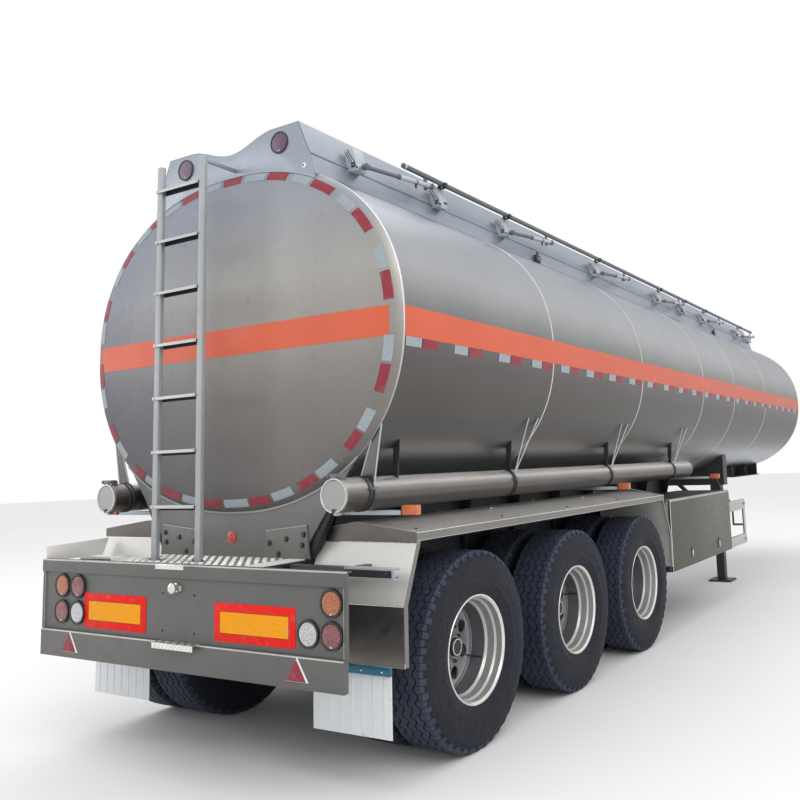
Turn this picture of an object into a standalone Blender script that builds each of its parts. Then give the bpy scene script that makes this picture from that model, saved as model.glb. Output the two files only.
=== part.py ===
"""Three-axle road tanker semi-trailer, parked on its tyres and its landing legs.

Metres, +Z up, +Y the way it travels, +X its right-hand side. Sizes along the
trailer are measured forward from the rear face of the lamp board, and heights
from the ground. An empty called trailer moves the whole model back, so that
the origin lies on the ground under the middle of its length.
"""
import math

import bmesh
import bpy
from mathutils import Matrix, Vector

# Clearances
seat_gap = 0.0003          # between pieces that rest on each other
shell_gap = 0.0006         # between the tank's shell and what is shaped to it
running_gap = 0.0006       # between a turning piece and what carries it
swing_gap = 0.006          # between pieces that move past each other
flat_angle = math.radians(0.02)   # faces that meet at less than this are one face

# Tank
tank_half_width = 1.247
tank_half_height = 1.000
tank_squareness = 2.19     # exponent of the section's super-ellipse
tank_belly_z = 1.3455
tank_rear_y = 0.372
tank_segments = 48
compartments = 6
compartment_length = 1.720
rear_crown = 0.055
front_dish = 0.250
# the rear head from its middle to its rim: share of the section, share of the crown
rear_head = ((0.30, 1.00), (0.60, 0.93), (0.85, 0.80), (0.95, 0.66), (0.985, 0.30))

# Manholes and their lids
collar_radius = 0.285
collar_rise = 0.060
collar_segments = 14
fill_radius = 0.180
fill_depth = 0.014
lid_radius = 0.215
lid_edge = 0.016
lid_crown = 0.034
lid_hinge_radius = 0.011
lid_hinge_width = 0.080

# Coaming round the tank's top
sheet = 0.004
coaming_share = 0.5373     # of the tank's half width, at the coaming's foot
coaming_overhang = 0.027   # over the knuckle of the rear head
coaming_front_back = 0.392  # from the tank's front end
coaming_fold_in = 0.035
coaming_fold_rise = 0.003  # rises are above the tank's top
coaming_peak_in = 0.125
coaming_peak_rise = 0.2105
coaming_dip_in = 0.470
coaming_dip_rise = 0.1525
top_lamp_in = 0.270
top_lamp_rise = 0.1115

# Walkway inside the coaming
walkway_gap = 0.035        # from the manhole collars
walkway_width = 0.180
walkway_rise = 0.0195
walkway_sheet = 0.005
walkway_tie_length = 0.060

# Folding handrail on the right
rail_out = 0.030           # beyond the coaming's foot
rail_rise = 0.147
rail_radius = 0.018
rail_rear_y = 1.120
rail_front_over = 0.085    # beyond the last post's pin
post_out = 0.080
post_count = 6
post_rear_y = 0.690
post_pitch_more = 0.030    # than a compartment's length
post_reach = 0.675         # forward distance between a folded post's two pins
post_foot_rise = -0.003
post_tip_rise = 0.064
post_radius = 0.014
post_eye_radius = 0.021
post_eye_width = 0.024
pin_radius = 0.008
pin_play = 0.0009
bracket_width = 0.090
bracket_rise = 0.125
bracket_forward = 0.020    # of its post's pin
cradle_rear_y = 1.573
cradle_front_back = 3.842

# Ladder
ladder_y = 0.106
ladder_left_x = -0.317
ladder_right_x = 0.040
stile_width = 0.056
stile_depth = 0.030
rung_count = 7
rung_pitch = 0.306
rung_height = 0.030
rung_depth = 0.044
ladder_rise = 0.0365
ladder_arm_height = 0.024
ladder_arm_width = 0.010
rung_into_stile = 0.002

# Rear deck, lamp board and underrun beam
board_half_width = 1.167
board_thickness = 0.005
board_low_z = 0.6990
deck_top_z = 1.0975
deck_thickness = 0.006
board_end_proud = 0.006
board_end_depth = 0.008
wing_high_z = 1.1700
wing_front_y = 0.366
board_cap_height = 0.070
board_cap_proud = 0.012
board_cap_width = 0.031
underrun_low_z = 0.5500
underrun_high_z = 0.6985
underrun_proud = 0.018
underrun_depth = 0.017
underrun_leg_depth = 0.100
step_reach = 0.060
step_left_x = -0.115
step_right_x = 0.200
step_lip = 0.026
lamp_radius = 0.068
lamp_proud = 0.014
# one lamp in each row: side, distance in from the board's end, z
board_lamps = (
    (-1, 0.183, 0.9515), (-1, 0.329, 0.9515), (-1, 0.183, 0.8035), (-1, 0.329, 0.8035),
    (1, 0.082, 0.9515), (1, 0.227, 0.8035), (1, 0.082, 0.8035),
)
plate_low_z = 0.7265
plate_high_z = 0.9185
plate_proud = 0.003
# one reflective plate in each row: side, distance in from the board's end, width
reflector_plates = ((-1, 0.387, 0.540), (1, 0.313, 0.559))
knob_z = 0.9775
knob_radius = 0.030
knob_reach = 0.045
triangle_in = 0.287
triangle_base = 0.145
triangle_low_z = 0.5845
triangle_high_z = 0.6965

# Rails under the tank, with the web that carries it
rail_beam_x = 0.500
beam_width = 0.120
beam_low_z = 0.8600
beam_flange = 0.012
beam_web = 0.010
beam_to_legs = 1.300
web_rear_y = 0.390
hanger_drop = 0.160
hanger_length = 0.140
hanger_cheek = 0.010
stalk_height = 0.024
marker_rear_ys = (0.468, 3.354)
marker_front_back = 0.346  # from the rails' front ends
marker_reach = 1.250
marker_length = 0.100
marker_height = 0.050
marker_z = 1.3370
marker_depth = 0.040

# Saddle at the rear end of the tank, and the crossmembers
saddle_share = 0.7338      # of the tank's half width
saddle_foot_half_width = 0.520
saddle_thickness = 0.012
saddle_plate_thickness = 0.010
saddle_plate_inner_x = 0.261
saddle_plate_outer_x = 0.600
saddle_plate_height = 0.180
crossmember_rear_y = 2.980
crossmember_front_back = 0.400   # from the rails' front ends
crossmember_length = 0.100
crossmember_drop = 0.120

# Axles and suspension
axle_count = 3
axle_rear_y = 1.043
axle_pitch = 1.310
axle_radius = 0.070
axle_segments = 12
spindle_radius = 0.045
spring_half_length = 0.640
spring_width = 0.090
spring_end_thickness = 0.018
spring_centre_thickness = 0.080
spring_rise = 0.125
spring_seat = 0.030
hanger_play = 0.004
chamber_radius = 0.085
chamber_length = 0.150
chamber_x = 0.300
chamber_forward = 0.190

# Wheels
tyre_radius = 0.5425
tyre_width = 0.300
tyre_segments = 24
twin_pitch = 0.340
wheel_face_x = 1.218
rim_width = 0.254
rim_seat_radius = 0.286
rim_flange_radius = 0.2985
rim_flange_width = 0.0083
bead_inset = 0.0040
drum_radius = 0.215

# Fenders with their flaps
fender_outer_x = 1.250
fender_inner_x = 0.600
fender_ridge_x = 0.852
fender_outer_z = 1.2400
fender_ridge_z = 1.2900
fender_inner_z = 1.2500
fender_rear_y = 0.445
fender_front_y = 4.150
fender_back_y = 0.330
fender_nose_y = 4.296
fender_knee_z = 0.8875
fender_low_z = 0.5950
fender_lip = 0.045
fender_gable_height = 0.055  # at the outer edge
fender_arm_y = 0.280
fender_arm_height = 0.055
fender_arm_top_z = 1.0820
flap_inner_x = 0.650
flap_outer_x = 1.160
flap_thickness = 0.006
flap_low_z = 0.250
flap_bar_height = 0.040

# Hose tubes with their lids
tube_in = 0.293            # in from the tank's side
tube_rise = 0.094          # above the tank's belly
tube_radius = 0.087
tube_wall = 0.004
tube_segments = 16
tube_rear_ys = {"right": 0.170, "left": 0.244}
tube_front_y = 5.700
band_ys = (0.620, 1.847, 3.495, 5.118)
band_width = 0.036
band_inner_out = 0.031     # beyond the tube's middle
band_outer_out = 0.101
tube_lid_thickness = 0.012
tube_hinge_radius = 0.008
tube_hinge_rise = 0.014
tube_hinge_width = 0.060

# Toolboxes and side guards
box_rear_y = 4.340
box_front_y = 6.340
box_inner_x = 0.640
box_face_x = 1.213
box_low_z = 0.535
box_high_z = 1.185
box_wall = 0.005
door_depth = 0.022
door_sheet = 0.004
door_margin = 0.002
door_hinge_radius = 0.006
guard_front_y = 7.100
guard_face_x = 1.212
guard_thickness = 0.025
guard_post_width = 0.070
guard_top_bar = (0.930, 1.045)
guard_low_bar = (0.535, 0.645)
box_hanger_width = 0.060

# Landing gear
leg_back = 3.092           # from the tank's front end
leg_x = 0.740
leg_outer = 0.130
leg_inner = 0.100
leg_outer_low_z = 0.480
leg_outer_high_z = 1.230
foot_size = 0.280
foot_thickness = 0.020
leg_bearer_half_width = 0.860
leg_bearer_length = 0.160
leg_shaft_z = 0.950
leg_shaft_radius = 0.022
leg_gearbox = 0.120

# Front coupler and kingpin
coupler_back = 0.142       # from the tank's front end
coupler_length = 1.500
coupler_half_width = 0.600
coupler_z = 1.250
coupler_plate = 0.010
coupler_web = 0.012
coupler_rib_half_width = 0.560
kingpin_back = 0.792
kingpin_radius = 0.0254
kingpin_head_radius = 0.0365
kingpin_length = 0.084

# Lines that follow from these sizes
tank_centre_z = tank_belly_z + tank_half_height
tank_top_z = tank_centre_z + tank_half_height
tank_front_y = tank_rear_y + compartments * compartment_length
collar_top_z = tank_top_z + collar_rise
coaming_rear_y = tank_rear_y - coaming_overhang
coaming_front_y = tank_front_y - coaming_front_back
coaming_foot_x = tank_half_width * coaming_share
coaming_fold_x = coaming_foot_x - coaming_fold_in
coaming_fold_z = tank_top_z + coaming_fold_rise
coaming_peak_x = coaming_foot_x - coaming_peak_in
coaming_peak_z = tank_top_z + coaming_peak_rise
coaming_dip_x = coaming_foot_x - coaming_dip_in
coaming_dip_z = tank_top_z + coaming_dip_rise
top_lamp_x = coaming_foot_x - top_lamp_in
top_lamp_z = tank_top_z + top_lamp_rise
walkway_inner_x = collar_radius + walkway_gap
walkway_outer_x = walkway_inner_x + walkway_width
walkway_z = tank_top_z + walkway_rise
rail_x = coaming_foot_x + rail_out
rail_z = tank_top_z + rail_rise
post_x = coaming_foot_x + post_out
post_pitch = compartment_length + post_pitch_more
cradle_ys = (cradle_rear_y, tank_front_y - cradle_front_back)
post_foot_z = tank_top_z + post_foot_rise
post_tip_z = tank_top_z + post_tip_rise
bracket_top_z = tank_top_z + bracket_rise
ladder_top_z = tank_top_z + ladder_rise
saddle_half_width = tank_half_width * saddle_share
tube_x = tank_half_width - tube_in
tube_z = tank_belly_z + tube_rise
band_inner_x = tube_x + band_inner_out
band_outer_x = tube_x + band_outer_out
leg_y = tank_front_y - leg_back
beam_front_y = leg_y - beam_to_legs
marker_ys = marker_rear_ys + (beam_front_y - marker_front_back,)
crossmember_ys = (crossmember_rear_y, beam_front_y - crossmember_front_back)
coupler_front_y = tank_front_y - coupler_back
coupler_rear_y = coupler_front_y - coupler_length
kingpin_y = tank_front_y - kingpin_back
triangle_x = board_half_width - triangle_in
deck_half_width = rail_beam_x + beam_width / 2
fender_gable_z = fender_outer_z - fender_gable_height
fender_slant = (fender_rear_y - fender_back_y) / (fender_gable_z - fender_knee_z)
rear_reach = -step_reach
front_reach = tank_front_y + front_dish
middle_y = (rear_reach + front_reach) / 2
beam_top_z = deck_top_z - deck_thickness - seat_gap
outer_tyre_x = wheel_face_x - rim_width / 2
wheel_mid_x = outer_tyre_x - twin_pitch / 2
axle_ys = [axle_rear_y + number * axle_pitch for number in range(axle_count)]
manhole_ys = [tank_rear_y + (number + 0.5) * compartment_length for number in range(compartments)]
post_ys = [post_rear_y + number * post_pitch for number in range(post_count)]
rail_front_y = post_ys[-1] + post_reach + rail_front_over

# Colours: red, green, blue, roughness, metallic
finishes = {
    "tank_metal": (0.46, 0.45, 0.43, 0.34, 1.0),
    "sheet_metal": (0.50, 0.49, 0.47, 0.38, 1.0),
    "bright_metal": (0.72, 0.72, 0.71, 0.28, 1.0),
    "grey_paint": (0.17, 0.17, 0.165, 0.45, 0.2),
    "dark_paint": (0.025, 0.027, 0.030, 0.50, 0.1),
    "ladder_grey": (0.42, 0.45, 0.46, 0.45, 0.4),
    "rail_grey": (0.24, 0.26, 0.27, 0.40, 0.7),
    "tyre_rubber": (0.018, 0.019, 0.022, 0.80, 0.0),
    "rim_silver": (0.62, 0.62, 0.61, 0.33, 0.8),
    "flap_white": (0.72, 0.74, 0.75, 0.60, 0.0),
}


def clear_scene():
    """Remove whatever the scene holds."""
    for existing in list(bpy.data.objects):
        bpy.data.objects.remove(existing, do_unlink=True)


def material(name):
    """Return the named finish as a Principled material."""
    found = bpy.data.materials.get(name)
    if found:
        return found
    red, green, blue, roughness, metallic = finishes[name]
    made = bpy.data.materials.new(name)
    made.use_nodes = True
    shader = made.node_tree.nodes["Principled BSDF"]
    shader.inputs["Base Color"].default_value = (red, green, blue, 1.0)
    shader.inputs["Roughness"].default_value = roughness
    shader.inputs["Metallic"].default_value = metallic
    made.diffuse_color = (red, green, blue, 1.0)
    return made


def to_mesh(bm, name):
    """Close a bmesh off into a mesh whose faces point outwards."""
    bmesh.ops.recalc_face_normals(bm, faces=bm.faces)
    mesh = bpy.data.meshes.new(name)
    bm.to_mesh(mesh)
    bm.free()
    return mesh


def place(name, mesh, finish, parent, at=(0.0, 0.0, 0.0), smooth=False):
    """Put a mesh in the scene as a named piece whose origin is at the given point."""
    if not mesh.materials:
        mesh.materials.append(material(finish))
    if smooth:
        mesh.shade_smooth()
        mesh.set_sharp_from_angle(angle=math.radians(32))
    piece = bpy.data.objects.new(name, mesh)
    bpy.context.scene.collection.objects.link(piece)
    piece.parent = parent
    piece.location = at
    return piece


def box(x, y, z):
    """Return a box mesh between the given pairs of limits."""
    bm = bmesh.new()
    bmesh.ops.create_cube(bm, size=1.0)
    size = Vector((x[1] - x[0], y[1] - y[0], z[1] - z[0]))
    middle = Vector((x[0] + x[1], y[0] + y[1], z[0] + z[1])) / 2
    bmesh.ops.scale(bm, vec=size, verts=bm.verts)
    bmesh.ops.translate(bm, vec=middle, verts=bm.verts)
    return to_mesh(bm, "box")


def prism(outline, axis, low, high):
    """Extrude an outline along an axis. The outline holds (y, z), (x, z) or (x, y) points."""
    order = {"x": (2, 0, 1), "y": (0, 2, 1), "z": (0, 1, 2)}[axis]
    bm = bmesh.new()
    corners = []
    for first, second in outline:
        values = (first, second, low)
        corners.append(bm.verts.new([values[index] for index in order]))
    face = bm.faces.new(corners)
    swept = bmesh.ops.extrude_face_region(bm, geom=[face])
    moved = [item for item in swept["geom"] if isinstance(item, bmesh.types.BMVert)]
    step = Vector([(0.0, 0.0, high - low)[index] for index in order])
    bmesh.ops.translate(bm, vec=step, verts=moved)
    return to_mesh(bm, "prism")


def turned(profile, axis, segments, at=(0.0, 0.0, 0.0), phase=0.0):
    """Turn (along, radius) points, from the first end to the last, into a closed round piece."""
    bm = bmesh.new()
    rings = []
    for along, radius in profile:
        ring = []
        for number in range(segments):
            angle = phase + 2 * math.pi * number / segments
            side, up = radius * math.cos(angle), radius * math.sin(angle)
            spot = {"x": (along, side, up), "y": (side, along, up), "z": (side, up, along)}[axis]
            ring.append(bm.verts.new(Vector(spot) + Vector(at)))
        rings.append(ring)
    bridge_rings(bm, rings)
    bm.faces.new(rings[0])
    bm.faces.new(rings[-1])
    return to_mesh(bm, "turned")


def bridge_rings(bm, rings, closed=False):
    """Join each ring of vertices to the next with faces."""
    pairs = list(zip(rings, rings[1:]))
    if closed:
        pairs.append((rings[-1], rings[0]))
    for near, far in pairs:
        for number in range(len(near)):
            after = (number + 1) % len(near)
            bm.faces.new((near[number], near[after], far[after], far[number]))


def round_bar(axis, centre, radius, low, high, segments=12):
    """Return a plain round bar along an axis, through a point of the other two axes."""
    first, second = centre
    at = {"x": (0.0, first, second), "y": (first, 0.0, second), "z": (first, second, 0.0)}[axis]
    return turned([(low, radius), (high, radius)], axis, segments, at, math.pi / segments)


def combined(base, others, operation="UNION"):
    """Join other meshes to a base mesh, or cut them out of it, as one closed mesh."""
    body = bpy.data.objects.new("body", base)
    bpy.context.scene.collection.objects.link(body)
    helpers = []
    for mesh in others:
        helper = bpy.data.objects.new("helper", mesh)
        bpy.context.scene.collection.objects.link(helper)
        cut = body.modifiers.new("join", "BOOLEAN")
        cut.operation = operation
        cut.solver = "EXACT"
        cut.object = helper
        helpers.append(helper)
    graph = bpy.context.evaluated_depsgraph_get()
    result = bpy.data.meshes.new_from_object(body.evaluated_get(graph))
    for helper in helpers + [body]:
        used = helper.data
        bpy.data.objects.remove(helper, do_unlink=True)
        bpy.data.meshes.remove(used)
    result.materials.clear()
    merge_flat_faces(result)
    return result


def merge_flat_faces(mesh):
    """Dissolve the edges that a join leaves inside flat faces."""
    bm = bmesh.new()
    bm.from_mesh(mesh)
    bmesh.ops.dissolve_limit(bm, angle_limit=flat_angle, verts=bm.verts, edges=bm.edges)
    bm.to_mesh(mesh)
    bm.free()


def joined(*meshes):
    """Join overlapping meshes into one."""
    return combined(meshes[0], meshes[1:])


def mirrored(mesh):
    """Return the mirror image of a mesh across the trailer's middle plane."""
    bm = bmesh.new()
    bm.from_mesh(mesh)
    bmesh.ops.scale(bm, vec=(-1.0, 1.0, 1.0), verts=bm.verts)
    bmesh.ops.reverse_faces(bm, faces=bm.faces)
    copy = bpy.data.meshes.new(mesh.name)
    bm.to_mesh(copy)
    bm.free()
    return copy


def place_pair(name, mesh, finish, parent, at=(0.0, 0.0, 0.0), smooth=False):
    """Place a right-hand piece and its mirror image on the left."""
    left_at = (-at[0], at[1], at[2])
    other = mirrored(mesh)
    place(name + "_right", mesh, finish, parent, at, smooth)
    place(name + "_left", other, finish, parent, left_at, smooth)


def section_point(angle, share=1.0, grow=0.0):
    """Return (x, z) on the tank's super-ellipse, scaled by a share or grown outwards."""
    power = 2 / tank_squareness
    across = math.copysign(abs(math.cos(angle)) ** power, math.cos(angle))
    up = math.copysign(abs(math.sin(angle)) ** power, math.sin(angle))
    x = (tank_half_width * share + grow) * across
    z = tank_centre_z + (tank_half_height * share + grow) * up
    return x, z


def shell_outline(start_x, end_x, upper, grow=shell_gap):
    """Return (x, z) points along the tank's faceted shell, from one x to another."""
    sign = 1 if upper else -1
    angles = [math.pi * number / (tank_segments // 2) for number in range(tank_segments // 2 + 1)]
    line = [section_point(sign * angle, grow=grow) for angle in angles][::-1]
    points = [(start_x, height_on(line, start_x))]
    inside = [point for point in line if min(start_x, end_x) < point[0] < max(start_x, end_x)]
    if start_x > end_x:
        inside = inside[::-1]
    points += inside
    points.append((end_x, height_on(line, end_x)))
    return points


def height_on(line, x):
    """Return the height of a line of (x, z) points at x."""
    for (low_x, low_z), (high_x, high_z) in zip(line, line[1:]):
        if low_x <= x <= high_x:
            return low_z + (high_z - low_z) * (x - low_x) / (high_x - low_x)
    return line[-1][1]


def build_tank(root):
    """Shell with a rimmed rear head, a domed front head and the manhole collars."""
    stations = [(tank_rear_y - rear_crown * depth, share) for share, depth in rear_head]
    stations += [(tank_rear_y, 1.0), (tank_front_y, 1.0)]
    for degrees in (20, 40, 60, 78):
        angle = math.radians(degrees)
        stations.append((tank_front_y + front_dish * math.sin(angle), math.cos(angle)))
    stations.append((tank_front_y + front_dish, 0.08))
    bm = bmesh.new()
    rings = []
    for y, share in stations:
        ring = []
        for number in range(tank_segments):
            x, z = section_point(2 * math.pi * number / tank_segments, share)
            ring.append(bm.verts.new((x, y, z)))
        rings.append(ring)
    bridge_rings(bm, rings)
    bm.faces.new(rings[0])
    bm.faces.new(rings[-1])
    shell = to_mesh(bm, "tank")
    collars = [collar(y) for y in manhole_ys]
    place("tank", combined(shell, collars), "tank_metal", root, smooth=True)


def collar(y):
    """Manhole collar with a shallow well, and the two ears of its lid's hinge."""
    profile = [
        (tank_top_z - 0.080, collar_radius),
        (collar_top_z, collar_radius),
        (collar_top_z, fill_radius),
        (collar_top_z - fill_depth, fill_radius),
    ]
    ring = turned(profile, "z", collar_segments, (0.0, y, 0.0))
    hinge_y = y + lid_radius + lid_hinge_radius
    inner = lid_hinge_width / 2 + running_gap
    ears = []
    for side in (-1, 1):
        span = sorted((side * inner, side * (inner + 0.012)))
        rise = (collar_top_z - 0.010, collar_top_z + lid_hinge_radius + 0.008)
        ears.append(box(span, (hinge_y - 0.008, hinge_y + 0.008), rise))
    return joined(ring, *ears)


def build_manhole_lids(root):
    """Round fill lids, each hinged at its front edge and held by a bar across it."""
    reach = lid_radius + lid_hinge_radius
    hinge_z = collar_top_z + seat_gap + lid_hinge_radius
    low = seat_gap - (hinge_z - collar_top_z)
    profile = [
        (low, lid_radius),
        (low + lid_edge, lid_radius),
        (low + lid_crown, lid_radius * 0.72),
    ]
    disc = turned(profile, "z", collar_segments, (0.0, -reach, 0.0))
    half = lid_hinge_width / 2
    barrel = round_bar("x", (0.0, 0.0), lid_hinge_radius, -half, half, 8)
    arm = box((-0.026, 0.026), (-reach - 0.190, -0.002), (low + 0.006, low + lid_crown + 0.012))
    mesh = joined(disc, barrel, arm)
    mesh.name = "manhole_lid"
    for number, y in enumerate(manhole_ys, 1):
        at = (0.0, y + reach, hinge_z)
        place(f"manhole_lid_{number}", mesh, "bright_metal", root, at)


def build_coaming(root):
    """Tray round the tank's top: two long boards and two end plates, with the rail's brackets."""
    foot = shell_outline(coaming_foot_x, coaming_foot_x - sheet, True)[0]
    board = [
        foot,
        (coaming_fold_x, coaming_fold_z),
        (coaming_peak_x, coaming_peak_z),
        (coaming_peak_x - sheet, coaming_peak_z),
        (coaming_fold_x - sheet, coaming_fold_z),
    ]
    inner_foot = shell_outline(coaming_foot_x - sheet, coaming_foot_x - 2 * sheet, True)[0]
    board.append((inner_foot[0], inner_foot[1]))
    right = prism(board, "y", coaming_rear_y, coaming_front_y)
    left = mirrored(right)
    rear = prism(end_plate_outline(True), "y", coaming_rear_y, coaming_rear_y + sheet)
    front = prism(end_plate_outline(False), "y", coaming_front_y - sheet, coaming_front_y)
    extras = [left, rear, front]
    for side in (-1, 1):
        extras.append(lamp(side * top_lamp_x, top_lamp_z, coaming_rear_y))
    inner_x = coaming_fold_x - 0.010
    pin_end = post_x + post_eye_width / 2 + 0.004
    for y in post_ys:
        rear = y + bracket_forward - bracket_width / 2
        outline = [
            (inner_x, coaming_fold_z - 0.020),
            (rail_x, post_foot_z - 0.020),
            (rail_x, post_foot_z + 0.040),
            (rail_x - 0.030, bracket_top_z),
            (inner_x - 0.020, bracket_top_z),
        ]
        extras.append(prism(outline, "y", rear, rear + bracket_width))
        extras.append(round_bar("x", (y, post_foot_z), pin_radius, rail_x - 0.010, pin_end, 8))
    cradle_z = rail_z - rail_radius - seat_gap
    for y in cradle_ys:
        outline = [
            (inner_x, coaming_fold_z - 0.010),
            (rail_x + 0.016, cradle_z - 0.050),
            (rail_x + 0.016, cradle_z),
            (rail_x - 0.016, cradle_z),
            (inner_x - 0.014, coaming_fold_z + 0.050),
        ]
        extras.append(prism(outline, "y", y - 0.015, y + 0.015))
    place("coaming", joined(right, *extras), "tank_metal", root)


def end_plate_outline(waved):
    """Outline of a coaming end plate: its foot follows the shell, its top dips or runs straight."""
    foot = shell_outline(-coaming_foot_x, coaming_foot_x, True)
    top = [(coaming_fold_x, coaming_fold_z), (coaming_peak_x, coaming_peak_z)]
    if waved:
        for share in (0.25, 0.50, 0.75, 1.0):
            x = coaming_peak_x + (coaming_dip_x - coaming_peak_x) * share
            blend = (1 - math.cos(math.pi * share)) / 2
            top.append((x, coaming_peak_z + (coaming_dip_z - coaming_peak_z) * blend))
    across = top + [(-x, z) for x, z in reversed(top)]
    return foot + across


def lamp(x, z, face_y):
    """Round lamp: a bezel that stands out of a rear face, with its lens set in it."""
    profile = [
        (face_y + 0.002, lamp_radius),
        (face_y - lamp_proud, lamp_radius * 0.96),
        (face_y - lamp_proud * 0.7, lamp_radius * 0.80),
    ]
    return turned(profile, "y", 12, (x, 0.0, z))


def build_walkway(root):
    """Two raised treads beside the manholes, tied across between them."""
    strips = []
    for side in (1, -1):
        foot_out = shell_outline(walkway_outer_x, walkway_outer_x - walkway_sheet, True)
        foot_in = shell_outline(walkway_inner_x + walkway_sheet, walkway_inner_x, True)
        under = walkway_z - walkway_sheet
        outline = [
            (walkway_outer_x, walkway_z),
            foot_out[0],
            foot_out[-1],
            (walkway_outer_x - walkway_sheet, under),
            (walkway_inner_x + walkway_sheet, under),
            foot_in[0],
            foot_in[-1],
            (walkway_inner_x, walkway_z),
        ]
        mirror = [(side * x, z) for x, z in outline]
        strips.append(prism(mirror, "y", tank_rear_y + 0.030, coaming_front_y - 0.030))
    ties = []
    for near, far in zip(manhole_ys, manhole_ys[1:]):
        middle = (near + far) / 2
        half = walkway_tie_length / 2
        span = (-walkway_inner_x - 0.002, walkway_inner_x + 0.002)
        low = tank_top_z + shell_gap
        ties.append(box(span, (middle - half, middle + half), (low, walkway_z - 0.001)))
    place("walkway", joined(*strips, *ties), "bright_metal", root)


def build_handrail(root):
    """Long rail with a lug at each post, and the posts that swing it up."""
    tip_ys = [y + post_reach for y in post_ys]
    leader = tip_ys[2]
    rail = round_bar("y", (0.0, rail_z - post_tip_z), rail_radius,
                     rail_rear_y - leader, rail_front_y - leader, 10)
    extras = []
    pin_end = post_x + post_eye_width / 2 + 0.004 - rail_x
    for y in tip_ys:
        low, high = -0.016, rail_z - post_tip_z
        extras.append(box((-0.005, 0.005), (y - leader - 0.016, y - leader + 0.016), (low, high)))
        extras.append(round_bar("x", (y - leader, 0.0), pin_radius, 0.0, pin_end, 8))
    place("handrail", joined(rail, *extras), "rail_grey", root, (rail_x, leader, post_tip_z))

    rise = post_tip_z - post_foot_z
    length = math.hypot(post_reach, rise)
    half = post_eye_width / 2
    bar = round_bar("y", (0.0, 0.0), post_radius, post_eye_radius * 0.7,
                    length - post_eye_radius * 0.7, 6)
    eyes = [round_bar("x", (y, 0.0), post_eye_radius, -half, half, 8) for y in (0.0, length)]
    solid = joined(bar, *eyes)
    hole = pin_radius + pin_play
    bores = [round_bar("x", (y, 0.0), hole, -0.1, 0.1, 8) for y in (0.0, length)]
    mesh = combined(solid, bores, "DIFFERENCE")
    mesh.name = "handrail_post"
    tilt = Matrix.Rotation(math.atan2(rise, post_reach), 4, "X")
    mesh.transform(tilt)
    for number, y in enumerate(post_ys, 1):
        place(f"handrail_post_{number}", mesh, "rail_grey", root, (post_x, y, post_foot_z))


def build_ladder(root):
    """Two stiles on the deck, channel rungs and the arms that reach the coaming."""
    foot_z = deck_top_z + seat_gap
    half = stile_width / 2
    depth = (ladder_y - stile_depth / 2, ladder_y + stile_depth / 2)
    top_rung_z = foot_z + rung_pitch * rung_count
    right = box((ladder_right_x - half, ladder_right_x + half), depth, (foot_z, ladder_top_z))
    left = box((ladder_left_x - half, ladder_left_x + half), depth, (foot_z, top_rung_z + 0.015))
    pieces = [left]
    for number in range(1, rung_count + 1):
        z = foot_z + rung_pitch * number
        pieces.append(box(
            (ladder_left_x - half, ladder_right_x - half + rung_into_stile),
            (ladder_y - rung_depth / 2, ladder_y + rung_depth / 2),
            (z - rung_height, z)))
    arm_high = ladder_top_z - 0.010
    arm_y = (ladder_y, coaming_rear_y - seat_gap)
    arm_x = (ladder_right_x - ladder_arm_width / 2, ladder_right_x + ladder_arm_width / 2)
    pieces.append(box(arm_x, arm_y, (arm_high - ladder_arm_height, arm_high)))
    place("ladder", joined(right, *pieces), "ladder_grey", root)


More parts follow.
